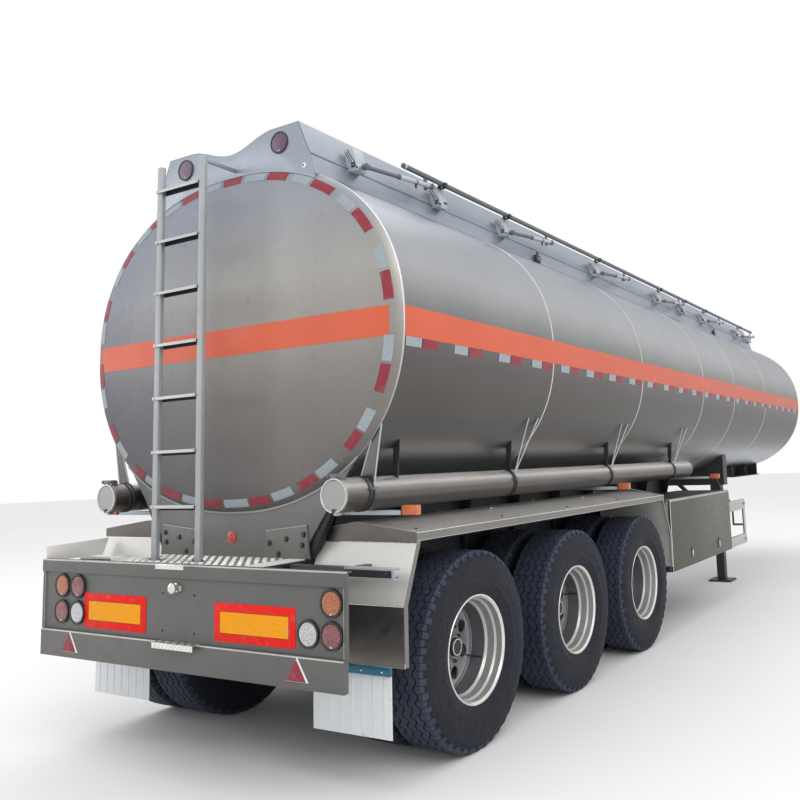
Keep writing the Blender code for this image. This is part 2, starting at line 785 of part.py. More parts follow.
def build_rear_end(root):
    """Deck, lamp board with its lamps and plates, and the underrun beam with its step."""
    deck_low = deck_top_z - deck_thickness
    deck = box((-deck_half_width, deck_half_width),
               (board_cap_width + seat_gap, tank_rear_y - seat_gap), (deck_low, deck_top_z))
    place("rear_deck", deck, "bright_metal", root)

    board = box((-board_half_width, board_half_width), (0.0, board_thickness),
                (board_low_z, deck_top_z))
    cap_x = (-board_half_width - board_cap_proud, board_half_width + board_cap_proud)
    cap_z = (deck_top_z - board_cap_height, deck_top_z + 0.001)
    deck_seat = beam_top_z + seat_gap
    pieces = [
        box(cap_x, (-board_cap_proud, board_thickness), cap_z),
        box(cap_x, (-board_cap_proud + 0.001, board_cap_width), (deck_seat, deck_top_z + 0.0005)),
    ]
    for side in (-1, 1):
        span = sorted((side * board_half_width, side * (board_half_width + 0.012)))
        span = (span[0] - 0.010, span[1]) if side > 0 else (span[0], span[1] + 0.010)
        end_y = (-board_end_proud, board_end_depth)
        pieces.append(box(span, end_y, (board_low_z, deck_top_z - 0.010)))
    wing_low = fender_arm_top_z + seat_gap
    wing_tilt = (wing_high_z - wing_low) * fender_slant
    wing = [
        (0.0, wing_low), (wing_front_y, wing_low),
        (wing_front_y + wing_tilt, wing_high_z), (0.0, wing_high_z),
    ]
    pieces.append(prism(wing, "x", -board_half_width, -board_half_width + sheet))
    for side, inset, z in board_lamps:
        pieces.append(lamp(side * (board_half_width - inset), z, 0.0))
    for side, inset, width in reflector_plates:
        outer = side * (board_half_width - inset)
        span = sorted((outer, outer - side * width))
        pieces.append(box(span, (-plate_proud, 0.002), (plate_low_z, plate_high_z)))
    knob = [(0.002, knob_radius), (-knob_reach * 0.6, knob_radius), (-knob_reach, knob_radius * 0.6)]
    pieces.append(turned(knob, "y", 10, (0.0, 0.0, knob_z)))
    place("lamp_board", joined(board, *pieces), "grey_paint", root)

    beam = box((-board_half_width, board_half_width), (-underrun_proud, underrun_depth),
               (underrun_low_z, underrun_high_z))
    pieces = []
    for side in (-1, 1):
        centre = side * triangle_x
        outline = [
            (centre - triangle_base / 2, triangle_low_z),
            (centre + triangle_base / 2, triangle_low_z),
            (centre, triangle_high_z),
        ]
        pieces.append(prism(outline, "y", -underrun_proud - 0.006, -underrun_proud + 0.002))
        leg_x = (side * rail_beam_x - 0.040, side * rail_beam_x + 0.040)
        leg_y = (board_thickness + swing_gap, underrun_leg_depth)
        pieces.append(box(leg_x, leg_y, (underrun_high_z - 0.010, beam_low_z - seat_gap)))
    step_x = (step_left_x, step_right_x)
    step_y = (-step_reach, -seat_gap * 2)
    pieces.append(box(step_x, step_y, (underrun_high_z - 0.001, underrun_high_z + 0.006)))
    lip_y = (-step_reach, -step_reach + 0.006)
    pieces.append(box(step_x, lip_y, (underrun_high_z - step_lip, underrun_high_z + 0.005)))
    place("underrun_beam", joined(beam, *pieces), "grey_paint", root)


def build_rails(root):
    """Long I-beam on each side with its spring hangers, tank web and marker stalks."""
    half = beam_width / 2
    web = beam_web / 2
    low, high = beam_low_z, beam_top_z
    x = rail_beam_x
    outline = [
        (x - half, low), (x + half, low), (x + half, low + beam_flange),
        (x + web, low + beam_flange), (x + web, high - beam_flange),
        (x + half, high - beam_flange), (x + half, high), (x - half, high),
        (x - half, high - beam_flange), (x - web, high - beam_flange),
        (x - web, low + beam_flange), (x - half, low + beam_flange),
    ]
    rear = board_thickness + seat_gap
    beam = prism(outline, "y", rear, beam_front_y)
    top = shell_outline(x + web, x - web, False)
    upper = prism([(x - web, high - 0.004), (x + web, high - 0.004)] + top, "y",
                  web_rear_y, beam_front_y)
    pieces = [upper]
    for y in hanger_ys():
        pieces.append(prism(hanger_outline(), "y", y - hanger_length / 2, y + hanger_length / 2))
    for y in marker_ys:
        stalk_top = marker_z + stalk_height / 2
        pieces.append(box((x, marker_reach - marker_length + 0.010), (y - 0.012, y + 0.012),
                          (marker_z - stalk_height / 2, stalk_top)))
        pieces.append(box((marker_reach - marker_length, marker_reach),
                          (y - marker_depth / 2, y + marker_depth / 2),
                          (marker_z - stalk_height / 2, marker_z + marker_height - 0.012)))
    place_pair("rail", joined(beam, *pieces), "dark_paint", root)


def hanger_ys():
    """Places of the spring hangers: before, between and behind the axles."""
    first = axle_rear_y - axle_pitch / 2
    return [first + number * axle_pitch for number in range(axle_count + 1)]


def hanger_outline():
    """Section of a hanger: two cheeks under a block, open downwards for the spring."""
    inner = spring_width / 2 + hanger_play
    outer = inner + hanger_cheek
    high = beam_low_z + 0.004
    roof = spring_eye_z() + spring_end_thickness / 2 + seat_gap
    low = beam_low_z - hanger_drop
    x = rail_beam_x
    return [
        (x - outer, low), (x - inner, low), (x - inner, roof), (x + inner, roof),
        (x + inner, low), (x + outer, low), (x + outer, high), (x - outer, high),
    ]


def spring_eye_z():
    """Height of a spring's ends, where they bear in their hangers."""
    return tyre_radius + axle_radius + spring_seat + spring_centre_thickness / 2 + spring_rise


def build_saddle_and_crossmembers(root):
    """Plate that cradles the tank's rear end, and the members across between the rails."""
    top = shell_outline(saddle_half_width, -saddle_half_width, False)
    foot = deck_top_z - deck_thickness
    outline = top + [(-saddle_foot_half_width, foot), (saddle_foot_half_width, foot)]
    saddle = prism(outline, "y", tank_rear_y, tank_rear_y + saddle_thickness)
    plates = []
    for side in (-1, 1):
        low = deck_top_z + seat_gap
        outline = [
            (side * saddle_plate_inner_x, low), (side * saddle_plate_outer_x, low),
            (side * (saddle_plate_outer_x - 0.020), low + saddle_plate_height),
            (side * (saddle_plate_inner_x + 0.020), low + saddle_plate_height - 0.030),
        ]
        plates.append(prism(outline, "y", tank_rear_y - saddle_plate_thickness,
                            tank_rear_y + 0.002))
    place("saddle_rear", joined(saddle, *plates), "grey_paint", root)

    inner = rail_beam_x - beam_web / 2 - seat_gap
    high = beam_top_z - beam_flange - seat_gap
    for number, y in enumerate(crossmember_ys, 1):
        member = box((-inner, inner), (y - crossmember_length / 2, y + crossmember_length / 2),
                     (high - crossmember_drop, high))
        place(f"crossmember_{number}", member, "dark_paint", root)


def build_axles(root):
    """Round beams with spindles, leaf springs and brake chambers."""
    beam_end = wheel_mid_x - 0.270 - running_gap
    spindle_end = wheel_mid_x + 0.060 - running_gap
    profile = [
        (-spindle_end, spindle_radius), (-beam_end, spindle_radius), (-beam_end, axle_radius),
        (beam_end, axle_radius), (beam_end, spindle_radius), (spindle_end, spindle_radius),
    ]
    beam = turned(profile, "x", axle_segments, phase=math.pi / axle_segments)
    pieces = []
    for side in (-1, 1):
        x = side * rail_beam_x
        low, high = x - spring_width / 2, x + spring_width / 2
        pieces.append(prism(spring_outline(), "x", low, high))
        seat_x = (x - spring_width * 0.6, x + spring_width * 0.6)
        pieces.append(box(seat_x, (-0.080, 0.080), (0.0, axle_radius + spring_seat + 0.004)))
        cx = side * chamber_x
        pieces.append(round_bar("x", (chamber_forward, 0.060), chamber_radius,
                                cx - chamber_length / 2, cx + chamber_length / 2, 10))
        pieces.append(box((cx - 0.030, cx + 0.030), (0.0, chamber_forward), (0.010, 0.050)))
    mesh = joined(beam, *pieces)
    mesh.name = "axle"
    for number, y in enumerate(axle_ys, 1):
        place(f"axle_{number}", mesh, "dark_paint", root, (0.0, y, tyre_radius))


def spring_outline():
    """Side view of a leaf spring pack about the axle's centre: thick in the middle, ends raised."""
    base = axle_radius + spring_seat
    steps = 4
    lower, upper = [], []
    for number in range(steps + 1):
        share = -1 + 2 * number / steps
        arc = share * share
        middle = base + spring_centre_thickness / 2 + spring_rise * arc
        thick = spring_centre_thickness + (spring_end_thickness - spring_centre_thickness) * abs(share)
        lower.append((share * spring_half_length, middle - thick / 2))
        upper.append((share * spring_half_length, middle + thick / 2))
    return lower + upper[::-1]


def build_wheels(root):
    """Twin wheels: one piece of rims, hub and drum with a tyre on each rim."""
    half_flange = rim_width / 2
    seat = rim_seat_radius
    outer = twin_pitch / 2 + half_flange
    inner_lip = outer - rim_flange_width
    rim_profile = [
        (0.158, 0.050),
        (0.090, 0.100),
        (0.078, 0.200),
        (0.090, 0.245),
        (outer, rim_flange_radius - 0.018),
        (outer, rim_flange_radius),
        (inner_lip, rim_flange_radius),
        (inner_lip, seat),
        (-inner_lip, seat),
        (-inner_lip, rim_flange_radius),
        (-outer, rim_flange_radius),
        (-0.270, drum_radius),
        (-0.270, spindle_radius + 0.0022),
        (0.060, spindle_radius + 0.0022),
    ]
    phase = math.pi / tyre_segments
    rims = turned(rim_profile, "x", tyre_segments, phase=phase)
    rims.name = "wheel"
    tyre = tyre_mesh(phase)
    left_rims = mirrored(rims)
    for number, y in enumerate(axle_ys, 1):
        for side, name, rim_mesh in ((1, "right", rims), (-1, "left", left_rims)):
            at = (side * wheel_mid_x, y, tyre_radius)
            place(f"wheel_{number}_{name}", rim_mesh, "rim_silver", root, at, smooth=True)
            for place_name, offset in (("outer", twin_pitch / 2), ("inner", -twin_pitch / 2)):
                tyre_at = (side * (wheel_mid_x + offset), y, tyre_radius)
                label = f"tyre_{number}_{name}_{place_name}"
                place(label, tyre, "tyre_rubber", root, tyre_at, smooth=True)


def tyre_mesh(phase):
    """Tyre turned from its section, with flats that are tangent to its true round."""
    crown = tyre_radius / math.cos(math.pi / tyre_segments)
    bead = rim_seat_radius + seat_gap
    bead_half = rim_width / 2 - rim_flange_width - bead_inset
    half = tyre_width / 2
    section = [
        (-bead_half, bead), (-half, 0.405), (-half * 0.94, 0.488), (-half * 0.78, crown),
        (half * 0.78, crown), (half * 0.94, 0.488), (half, 0.405), (bead_half, bead),
    ]
    bm = bmesh.new()
    rings = []
    for along, radius in section:
        ring = []
        for number in range(tyre_segments):
            angle = phase + 2 * math.pi * number / tyre_segments
            ring.append(bm.verts.new((along, radius * math.cos(angle), radius * math.sin(angle))))
        rings.append(ring)
    bridge_rings(bm, rings, closed=True)
    return to_mesh(bm, "tyre")


def build_fenders(root):
    """Folded sheet over each bogie side, with its rear arm, and the flap below it."""
    roof = [
        (fender_inner_x, fender_inner_z), (fender_ridge_x, fender_ridge_z),
        (fender_outer_x, fender_outer_z), (fender_outer_x, fender_outer_z - fender_lip),
        (fender_outer_x - sheet, fender_outer_z - fender_lip),
        (fender_outer_x - sheet, fender_outer_z - sheet),
        (fender_ridge_x, fender_ridge_z - sheet), (fender_inner_x, fender_inner_z - sheet),
    ]
    top = prism(roof, "y", fender_rear_y, fender_front_y)
    pieces = []
    under = fender_gable_z
    for end_y, knee_y, out in ((fender_rear_y, fender_back_y, -1), (fender_front_y, fender_nose_y, 1)):
        inward = -out * sheet
        side = [
            (end_y, under), (knee_y, fender_knee_z), (knee_y, fender_low_z),
            (knee_y + inward, fender_low_z), (knee_y + inward, fender_knee_z),
            (end_y + inward, under),
        ]
        pieces.append(prism(side, "x", fender_inner_x, fender_outer_x))
        gable = [
            (fender_inner_x, under - 0.004), (fender_outer_x, under - 0.004),
            (fender_outer_x, fender_outer_z), (fender_ridge_x, fender_ridge_z),
            (fender_inner_x, fender_inner_z),
        ]
        ends = sorted((end_y, end_y + inward))
        pieces.append(prism(gable, "y", ends[0], ends[1]))
        lip_top = fender_outer_z - sheet
        lip = [
            (end_y, lip_top), (end_y, under), (knee_y, fender_knee_z), (knee_y, fender_low_z),
            (knee_y + inward * 8, fender_low_z), (knee_y + inward * 8, fender_knee_z),
            (end_y + inward * 8, under), (end_y + inward * 8, lip_top),
        ]
        pieces.append(prism(lip, "x", fender_outer_x - sheet, fender_outer_x))
    arm_x = (rail_beam_x + beam_width / 2 + seat_gap, fender_outer_x)
    arm_z = (fender_arm_top_z - fender_arm_height, fender_arm_top_z)
    pieces.append(box(arm_x, (fender_arm_y - 0.020, fender_arm_y + 0.020), arm_z))
    tie_x = (fender_outer_x - 0.300, fender_outer_x - 0.260)
    pieces.append(box(tie_x, (fender_arm_y, fender_back_y + 0.110), (arm_z[0] + 0.010, arm_z[1])))
    for y in (hanger_ys()[1], hanger_ys()[2]):
        brace = box((rail_beam_x + beam_web / 2 + seat_gap, fender_inner_x + 0.060),
                    (y - 0.020, y + 0.020), (fender_inner_z - 0.030, fender_inner_z - 0.001))
        pieces.append(brace)
    place_pair("fender", joined(top, *pieces), "sheet_metal", root)

    front = fender_back_y + sheet + seat_gap
    flap = box((flap_inner_x, flap_outer_x), (front, front + flap_thickness),
               (flap_low_z, fender_low_z + 0.030))
    bar = box((flap_inner_x, flap_outer_x), (front - 0.012, front + flap_thickness - 0.001),
              (fender_low_z - flap_bar_height - 0.004, fender_low_z - 0.004))
    place_pair("mud_flap", joined(flap, bar), "flap_white", root)


def build_hose_tubes(root):
    """Hollow tubes for the hoses, each with its hanger straps, hinge ears and lid."""
    phase = math.pi / tube_segments
    outer, inner = tube_radius, tube_radius - tube_wall
    drop = outer + tube_hinge_rise
    for name, rear_y in tube_rear_ys.items():
        hinge_y = rear_y - 0.004
        axis = (tube_x, 0.0, tube_z)
        shaft = turned([(rear_y, outer), (tube_front_y, outer)], "y", tube_segments, axis, phase)
        solid = joined(shaft, *tube_straps(), *tube_ears(rear_y, hinge_y))
        bore_profile = [(rear_y - 0.050, inner), (tube_front_y - tube_wall, inner)]
        bore = turned(bore_profile, "y", tube_segments, axis, phase)
        tube = combined(solid, [bore], "DIFFERENCE")
        lid = tube_lid(rear_y - seat_gap - hinge_y, phase)
        side = 1 if name == "right" else -1
        if side < 0:
            tube, lid = mirrored(tube), mirrored(lid)
        place(f"hose_tube_{name}", tube, "tank_metal", root, smooth=True)
        at = (side * tube_x, hinge_y, tube_z + drop)
        place(f"tube_lid_{name}", lid, "bright_metal", root, at)


def tube_straps():
    """Hanger straps from the tank's side down to the right tube."""
    straps = []
    for y in band_ys:
        top = shell_outline(band_outer_x, band_inner_x, False)
        outline = [(band_inner_x, tube_z), (band_outer_x - 0.025, tube_z)] + top
        straps.append(prism(outline, "y", y - band_width / 2, y + band_width / 2))
    return straps


def tube_ears(rear_y, hinge_y):
    """Two ears over the tube's rear end that hold its lid's hinge."""
    ears = []
    ear_inner = tube_hinge_width / 2 + running_gap
    top = tube_z + tube_radius
    for side in (-1, 1):
        span = sorted((tube_x + side * ear_inner, tube_x + side * (ear_inner + 0.010)))
        ear_low, ear_high = top + 0.003, top + tube_hinge_rise + 0.010
        ear = [
            (hinge_y - 0.010, ear_low), (rear_y + 0.001, ear_low),
            (rear_y + 0.001, top - 0.014), (rear_y + 0.040, top - 0.014),
            (rear_y + 0.040, ear_high), (hinge_y - 0.010, ear_high),
        ]
        ears.append(prism(ear, "x", span[0], span[1]))
    return ears


def tube_lid(seat_y, phase):
    """Round lid with a raised rim, its hinge barrel and the tab between them."""
    outer = tube_radius
    face_y = seat_y - tube_lid_thickness
    profile = [
        (seat_y, outer), (face_y, outer), (face_y, outer - 0.010), (face_y + 0.005, outer - 0.014),
    ]
    disc = turned(profile, "y", tube_segments, (0.0, 0.0, -outer - tube_hinge_rise), phase)
    half = tube_hinge_width / 2
    barrel = round_bar("x", (0.0, 0.0), tube_hinge_radius, -half, half, 8)
    tab = box((-half * 0.8, half * 0.8), (face_y + 0.001, seat_y - 0.001),
              (-tube_hinge_rise - 0.014, 0.002))
    return joined(disc, barrel, tab)


def build_toolboxes(root):
    """Hollow toolboxes with a top-hinged door, and the side guards ahead of them."""
    shell = box((box_inner_x, box_face_x), (box_rear_y, box_front_y), (box_low_z, box_high_z))
    room = box((box_inner_x + box_wall, box_face_x + 0.100),
               (box_rear_y + box_wall, box_front_y - box_wall),
               (box_low_z + box_wall, box_high_z - box_wall))
    hollow = combined(shell, [room], "DIFFERENCE")
    pieces = []
    for y in (box_rear_y + 0.150, box_front_y - 0.300):
        span = (rail_beam_x + beam_web / 2 + seat_gap, box_inner_x + 0.002)
        pieces.append(box(span, (y, y + box_hanger_width), (beam_low_z + 0.030, beam_top_z - 0.030)))
    face = (guard_face_x - guard_thickness, guard_face_x)
    for low, high in (guard_top_bar, guard_low_bar):
        pieces.append(box(face, (box_front_y - 0.002, guard_front_y), (low, high)))
    pieces.append(box((face[0] + 0.002, face[1] - 0.002), (guard_front_y - guard_post_width, guard_front_y - 0.002),
                      (guard_low_bar[0] + 0.002, guard_top_bar[1] - 0.002)))
    place_pair("toolbox", joined(hollow, *pieces), "sheet_metal", root)

    back = box_face_x + seat_gap
    hinge_x = back + door_depth / 2
    hinge_z = box_high_z - door_hinge_radius
    low = box_low_z - hinge_z + door_margin
    high = -door_hinge_radius * 0.7
    length = (box_front_y - box_rear_y) / 2 - door_margin
    pan = box((back - hinge_x, back - hinge_x + door_depth), (-length, length), (low, high))
    rim = door_sheet * 3
    room = box((back - hinge_x - 0.010, back - hinge_x + door_depth - door_sheet),
               (-length + rim, length - rim), (low + rim, high - rim))
    hollow = combined(pan, [room], "DIFFERENCE")
    barrel = round_bar("y", (0.0, 0.0), door_hinge_radius, -length, length, 8)
    door = joined(hollow, barrel)
    middle = (box_rear_y + box_front_y) / 2
    place_pair("toolbox_door", door, "sheet_metal", root, (hinge_x, middle, hinge_z))


def build_landing_gear(root):
    """Two telescopic legs on feet, hung from a bearer under the tank, with their cross shaft."""
    half = leg_bearer_length / 2
    top = shell_outline(leg_bearer_half_width, -leg_bearer_half_width, False)
    low = leg_outer_high_z - 0.030
    bearer = prism(top + [(-leg_bearer_half_width, low), (leg_bearer_half_width, low)], "y",
                   leg_y - half, leg_y + half)
    pieces = []
    for side in (-1, 1):
        x = side * leg_x
        for size, foot_z, head_z in ((leg_outer, leg_outer_low_z, leg_outer_high_z),
                                     (leg_inner, foot_thickness / 2, leg_outer_low_z + 0.05)):
            pieces.append(box((x - size / 2, x + size / 2), (leg_y - size / 2, leg_y + size / 2),
                              (foot_z, head_z)))
        pieces.append(box((x - foot_size / 2, x + foot_size / 2),
                          (leg_y - foot_size / 2, leg_y + foot_size / 2), (0.0, foot_thickness)))
        brace = [(x - side * 0.060, 0.780), (x - side * 0.020, 0.780),
                 (x - side * 0.480, low + 0.020), (x - side * 0.540, low + 0.020)]
        pieces.append(prism(brace, "y", leg_y - 0.030, leg_y + 0.030))
    pieces.append(round_bar("x", (leg_y, leg_shaft_z), leg_shaft_radius, -leg_x, leg_x, 8))
    gear_x = leg_x + leg_outer / 2
    pieces.append(box((gear_x - 0.020, gear_x + 0.080), (leg_y - leg_gearbox / 2, leg_y + leg_gearbox / 2),
                      (leg_shaft_z - leg_gearbox / 2, leg_shaft_z + leg_gearbox / 2)))
    crank_x = gear_x + 0.120
    pieces.append(round_bar("x", (leg_y, leg_shaft_z), 0.012, gear_x + 0.060, crank_x + 0.012, 8))
    pieces.append(box((crank_x - 0.010, crank_x + 0.010), (leg_y - 0.010, leg_y + 0.010),
                      (leg_shaft_z - 0.260, leg_shaft_z + 0.008)))
    pieces.append(round_bar("x", (leg_y, leg_shaft_z - 0.250), 0.012, crank_x - 0.006, crank_x + 0.120, 8))
    place("landing_gear", joined(bearer, *pieces), "dark_paint", root)


def build_coupler(root):
    """Skid plate under the tank's front, its cradle webs and the kingpin."""
    plate = box((-coupler_half_width, coupler_half_width), (coupler_rear_y, coupler_front_y),
                (coupler_z, coupler_z + coupler_plate))
    pieces = []
    ribs = (coupler_rear_y, kingpin_y - 0.100, coupler_front_y - coupler_web)
    for y in ribs:
        top = shell_outline(coupler_rib_half_width, -coupler_rib_half_width, False)
        low = coupler_z + 0.002
        outline = top + [(-coupler_rib_half_width, low), (coupler_rib_half_width, low)]
        pieces.append(prism(outline, "y", y + 0.001, y + coupler_web - 0.001))
    for x in (-0.420, 0.420):
        half = coupler_web / 2
        top = shell_outline(x + half, x - half, False, shell_gap + 0.002)
        outline = top + [(x - half, coupler_z + 0.003), (x + half, coupler_z + 0.003)]
        pieces.append(prism(outline, "y", coupler_rear_y + 0.004, coupler_front_y - 0.004))
    pin = [
        (coupler_z + 0.004, kingpin_head_radius),
        (coupler_z - 0.035, kingpin_head_radius),
        (coupler_z - 0.035, kingpin_radius),
        (coupler_z - kingpin_length + 0.014, kingpin_radius),
        (coupler_z - kingpin_length + 0.014, kingpin_head_radius),
        (coupler_z - kingpin_length, kingpin_head_radius),
    ]
    pieces.append(turned(pin, "z", 16, (0.0, kingpin_y, 0.0)))
    place("coupler", joined(plate, *pieces), "dark_paint", root)


def build():
    """Build every piece under one empty that sets the model's origin."""
    clear_scene()
    root = bpy.data.objects.new("trailer", None)
    bpy.context.scene.collection.objects.link(root)
    root.location = (0.0, -middle_y, 0.0)
    build_tank(root)
    build_manhole_lids(root)
    build_coaming(root)
    build_walkway(root)
    build_handrail(root)
    build_ladder(root)
    build_rear_end(root)
    build_rails(root)
    build_saddle_and_crossmembers(root)
    build_axles(root)
    build_wheels(root)
    build_fenders(root)
    build_hose_tubes(root)
    build_toolboxes(root)
    build_landing_gear(root)
    build_coupler(root)


build()
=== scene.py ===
"""Looks of a three-axle road tanker semi-trailer.

Metres, +Z up, +Y the way it travels, +X its right-hand side. Places along the trailer
are measured forward from the rear face of the lamp board, as in the CAD source, and
each finished piece is moved back by board_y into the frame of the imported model.
"""
import math

import bmesh
import bpy
from bpy.props import FloatProperty, FloatVectorProperty, IntProperty, PointerProperty
from mathutils import Matrix, Vector


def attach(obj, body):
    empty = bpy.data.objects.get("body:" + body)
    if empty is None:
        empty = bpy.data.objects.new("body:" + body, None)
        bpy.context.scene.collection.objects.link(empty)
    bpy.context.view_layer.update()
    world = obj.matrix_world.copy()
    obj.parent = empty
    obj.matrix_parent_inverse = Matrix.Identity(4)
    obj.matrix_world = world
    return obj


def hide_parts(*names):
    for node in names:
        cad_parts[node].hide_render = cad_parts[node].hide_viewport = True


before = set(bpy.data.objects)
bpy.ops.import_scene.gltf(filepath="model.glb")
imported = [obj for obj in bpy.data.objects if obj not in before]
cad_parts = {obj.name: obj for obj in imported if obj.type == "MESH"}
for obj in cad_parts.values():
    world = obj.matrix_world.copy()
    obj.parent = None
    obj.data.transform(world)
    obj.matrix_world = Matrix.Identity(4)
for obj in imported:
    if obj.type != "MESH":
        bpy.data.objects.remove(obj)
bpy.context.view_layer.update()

bl_info = {
    "name": "Tanker Trailer Looks",
    "version": (1, 0, 0),
    "blender": (4, 5, 0),
    "location": "3D View > Sidebar > Tanker",
    "description": "Dresses the packed tanker trailer with its detailed pieces and finishes",
    "category": "Object",
}

board_y = -5.441           # the lamp board's rear face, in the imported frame

# Tank
half_width = 1.247
half_height = 1.000
squareness = 2.19
centre_z = 2.3455
rear_y = 0.372
front_y = 10.692
top_z = 3.3455
front_dish = 0.248
rear_crown = 0.055
head_profile = ((0.02, 1.00), (0.30, 1.00), (0.45, 0.97), (0.60, 0.93), (0.73, 0.87), (0.85, 0.80),
                (0.92, 0.735), (0.95, 0.66), (0.97, 0.52), (0.985, 0.30), (0.995, 0.12), (1.0, 0.0))
seam_ys = (2.081, 3.800, 5.600, 6.845, 8.435)
compartment = 1.720
manhole_ys = [rear_y + (number + 0.5) * compartment for number in range(6)]
collar_top = top_z + 0.060
shell_gap = 0.0006         # between the tank and sheets cut to its section
seat_gap = 0.0003          # between pieces that seat on each other
stripe_z = (2.2445, 2.4035)
block_length = 0.145

# Coaming and handrail
foot_x, fold_x, peak_x, shoulder_x = 0.670, 0.635, 0.545, 0.350
fold_z, peak_z, shoulder_z, dip_z = 3.3485, 3.5560, 3.5550, 3.4740
coaming_rear, coaming_front, coaming_sheet = 0.345, 10.300, 0.004
post_ys = [0.690 + 1.750 * number for number in range(6)]
post_reach = 0.675
post_x, post_foot_z, post_tip_z = 0.750, 3.3425, 3.4095
pin_end = 0.7655
rail_x, rail_z = 0.700, 3.4925

# Rear end
board_half = 1.167
board_low, deck_top = 0.699, 1.0975
ladder_left_x, ladder_right_x, ladder_top, rung_pitch = -0.317, 0.040, 3.3820, 0.306
lamp_low, lamp_high = 0.8035, 0.9515

# Fenders
fender_inner, fender_outer, fender_ridge = 0.600, 1.250, 0.852
fender_inner_z, fender_outer_z, fender_ridge_z = 1.2500, 1.2400, 1.2900
fender_rear, fender_front = 0.445, 4.150
fender_sheet = 0.004

# Hose tubes
tube_x, tube_z, tube_radius = 0.954, 1.4395, 0.087

# Toolboxes
box_rear, box_front, box_low, box_high = 4.340, 6.340, 0.535, 1.185
box_inner, box_face, box_wall = 0.640, 1.213, 0.005

# Rails, axles and wheels
beam_x, beam_low, beam_top, beam_front = 0.500, 0.860, 1.0912, 6.300
axle_pitch = 1.310
axle_ys = tuple(1.043 + axle_pitch * number for number in range(3))
wheel_x = 0.921
tyre_radius = 0.5425
twin_half = 0.170


# ---- Finishes ----

def grow_nodes(name, base, roughness, metallic):
    """Start a material and return it with its node tree and shader."""
    made = bpy.data.materials.new(name)
    made.use_nodes = True
    made.diffuse_color = (*base, 1.0)
    tree = made.node_tree
    shader = tree.nodes["Principled BSDF"]
    shader.inputs["Base Color"].default_value = (*base, 1.0)
    shader.inputs["Roughness"].default_value = roughness
    shader.inputs["Metallic"].default_value = metallic
    return made, tree, shader


def noise(tree, scale, stretch=(1.0, 1.0, 1.0), detail=4.0, rough=0.55):
    """Noise on object coordinates, stretched along its axes."""
    spot = tree.nodes.new("ShaderNodeTexCoord")
    mapping = tree.nodes.new("ShaderNodeMapping")
    mapping.inputs["Scale"].default_value = stretch
    texture = tree.nodes.new("ShaderNodeTexNoise")
    texture.inputs["Scale"].default_value = scale
    texture.inputs["Detail"].default_value = detail
    texture.inputs["Roughness"].default_value = rough
    tree.links.new(spot.outputs["Object"], mapping.inputs["Vector"])
    tree.links.new(mapping.outputs["Vector"], texture.inputs["Vector"])
    return texture.outputs["Fac"]


def remap(tree, value, low, high, out_low, out_high, smooth=False):
    """Map a value from one range to another, held at its ends."""
    node = tree.nodes.new("ShaderNodeMapRange")
    node.interpolation_type = "SMOOTHSTEP" if smooth else "LINEAR"
    node.inputs["From Min"].default_value = low
    node.inputs["From Max"].default_value = high
    node.inputs["To Min"].default_value = out_low
    node.inputs["To Max"].default_value = out_high
    tree.links.new(value, node.inputs["Value"])
    return node.outputs["Result"]


def blend_colours(tree, share, first, second):
    """Mix two colours or colour sockets by a share."""
    node = tree.nodes.new("ShaderNodeMix")
    node.data_type = "RGBA"
    tree.links.new(share, node.inputs["Factor"])
    for socket, colour in ((node.inputs["A"], first), (node.inputs["B"], second)):
        if isinstance(colour, bpy.types.NodeSocket):
            tree.links.new(colour, socket)
        else:
            socket.default_value = (*colour, 1.0)
    return node.outputs["Result"]


def relief(tree, shader, height, strength, distance):
    """Bump the surface by a height."""
    node = tree.nodes.new("ShaderNodeBump")
    node.inputs["Strength"].default_value = strength
    node.inputs["Distance"].default_value = distance
    tree.links.new(height, node.inputs["Height"])
    tree.links.new(node.outputs["Normal"], shader.inputs["Normal"])


def scaled(colour, factor):
    """Return a colour made lighter or darker."""
    return tuple(min(1.0, part * factor) for part in colour)


def paint_light_along(tree, axis, colour, stops):
    """Multiply a colour by painted light and shade given at places along an axis of the trailer."""
    spot = tree.nodes.new("ShaderNodeTexCoord")
    split = tree.nodes.new("ShaderNodeSeparateXYZ")
    tree.links.new(spot.outputs["Object"], split.inputs["Vector"])
    low, high = stops[0][0], stops[-1][0]
    ramp = tree.nodes.new("ShaderNodeValToRGB")
    marks = ramp.color_ramp.elements
    marks[0].color = (*stops[0][1], 1.0)
    marks[1].color = (*stops[-1][1], 1.0)
    for place, tone in stops[1:-1]:
        marks.new((place - low) / (high - low)).color = (*tone, 1.0)
    tree.links.new(remap(tree, split.outputs[axis], low, high, 0.0, 1.0), ramp.inputs["Fac"])
    node = tree.nodes.new("ShaderNodeMix")
    node.data_type = "RGBA"
    node.blend_type = "MULTIPLY"
    node.inputs["Factor"].default_value = 1.0
    tree.links.new(colour, node.inputs["A"])
    tree.links.new(ramp.outputs["Color"], node.inputs["B"])
    return node.outputs["Result"]


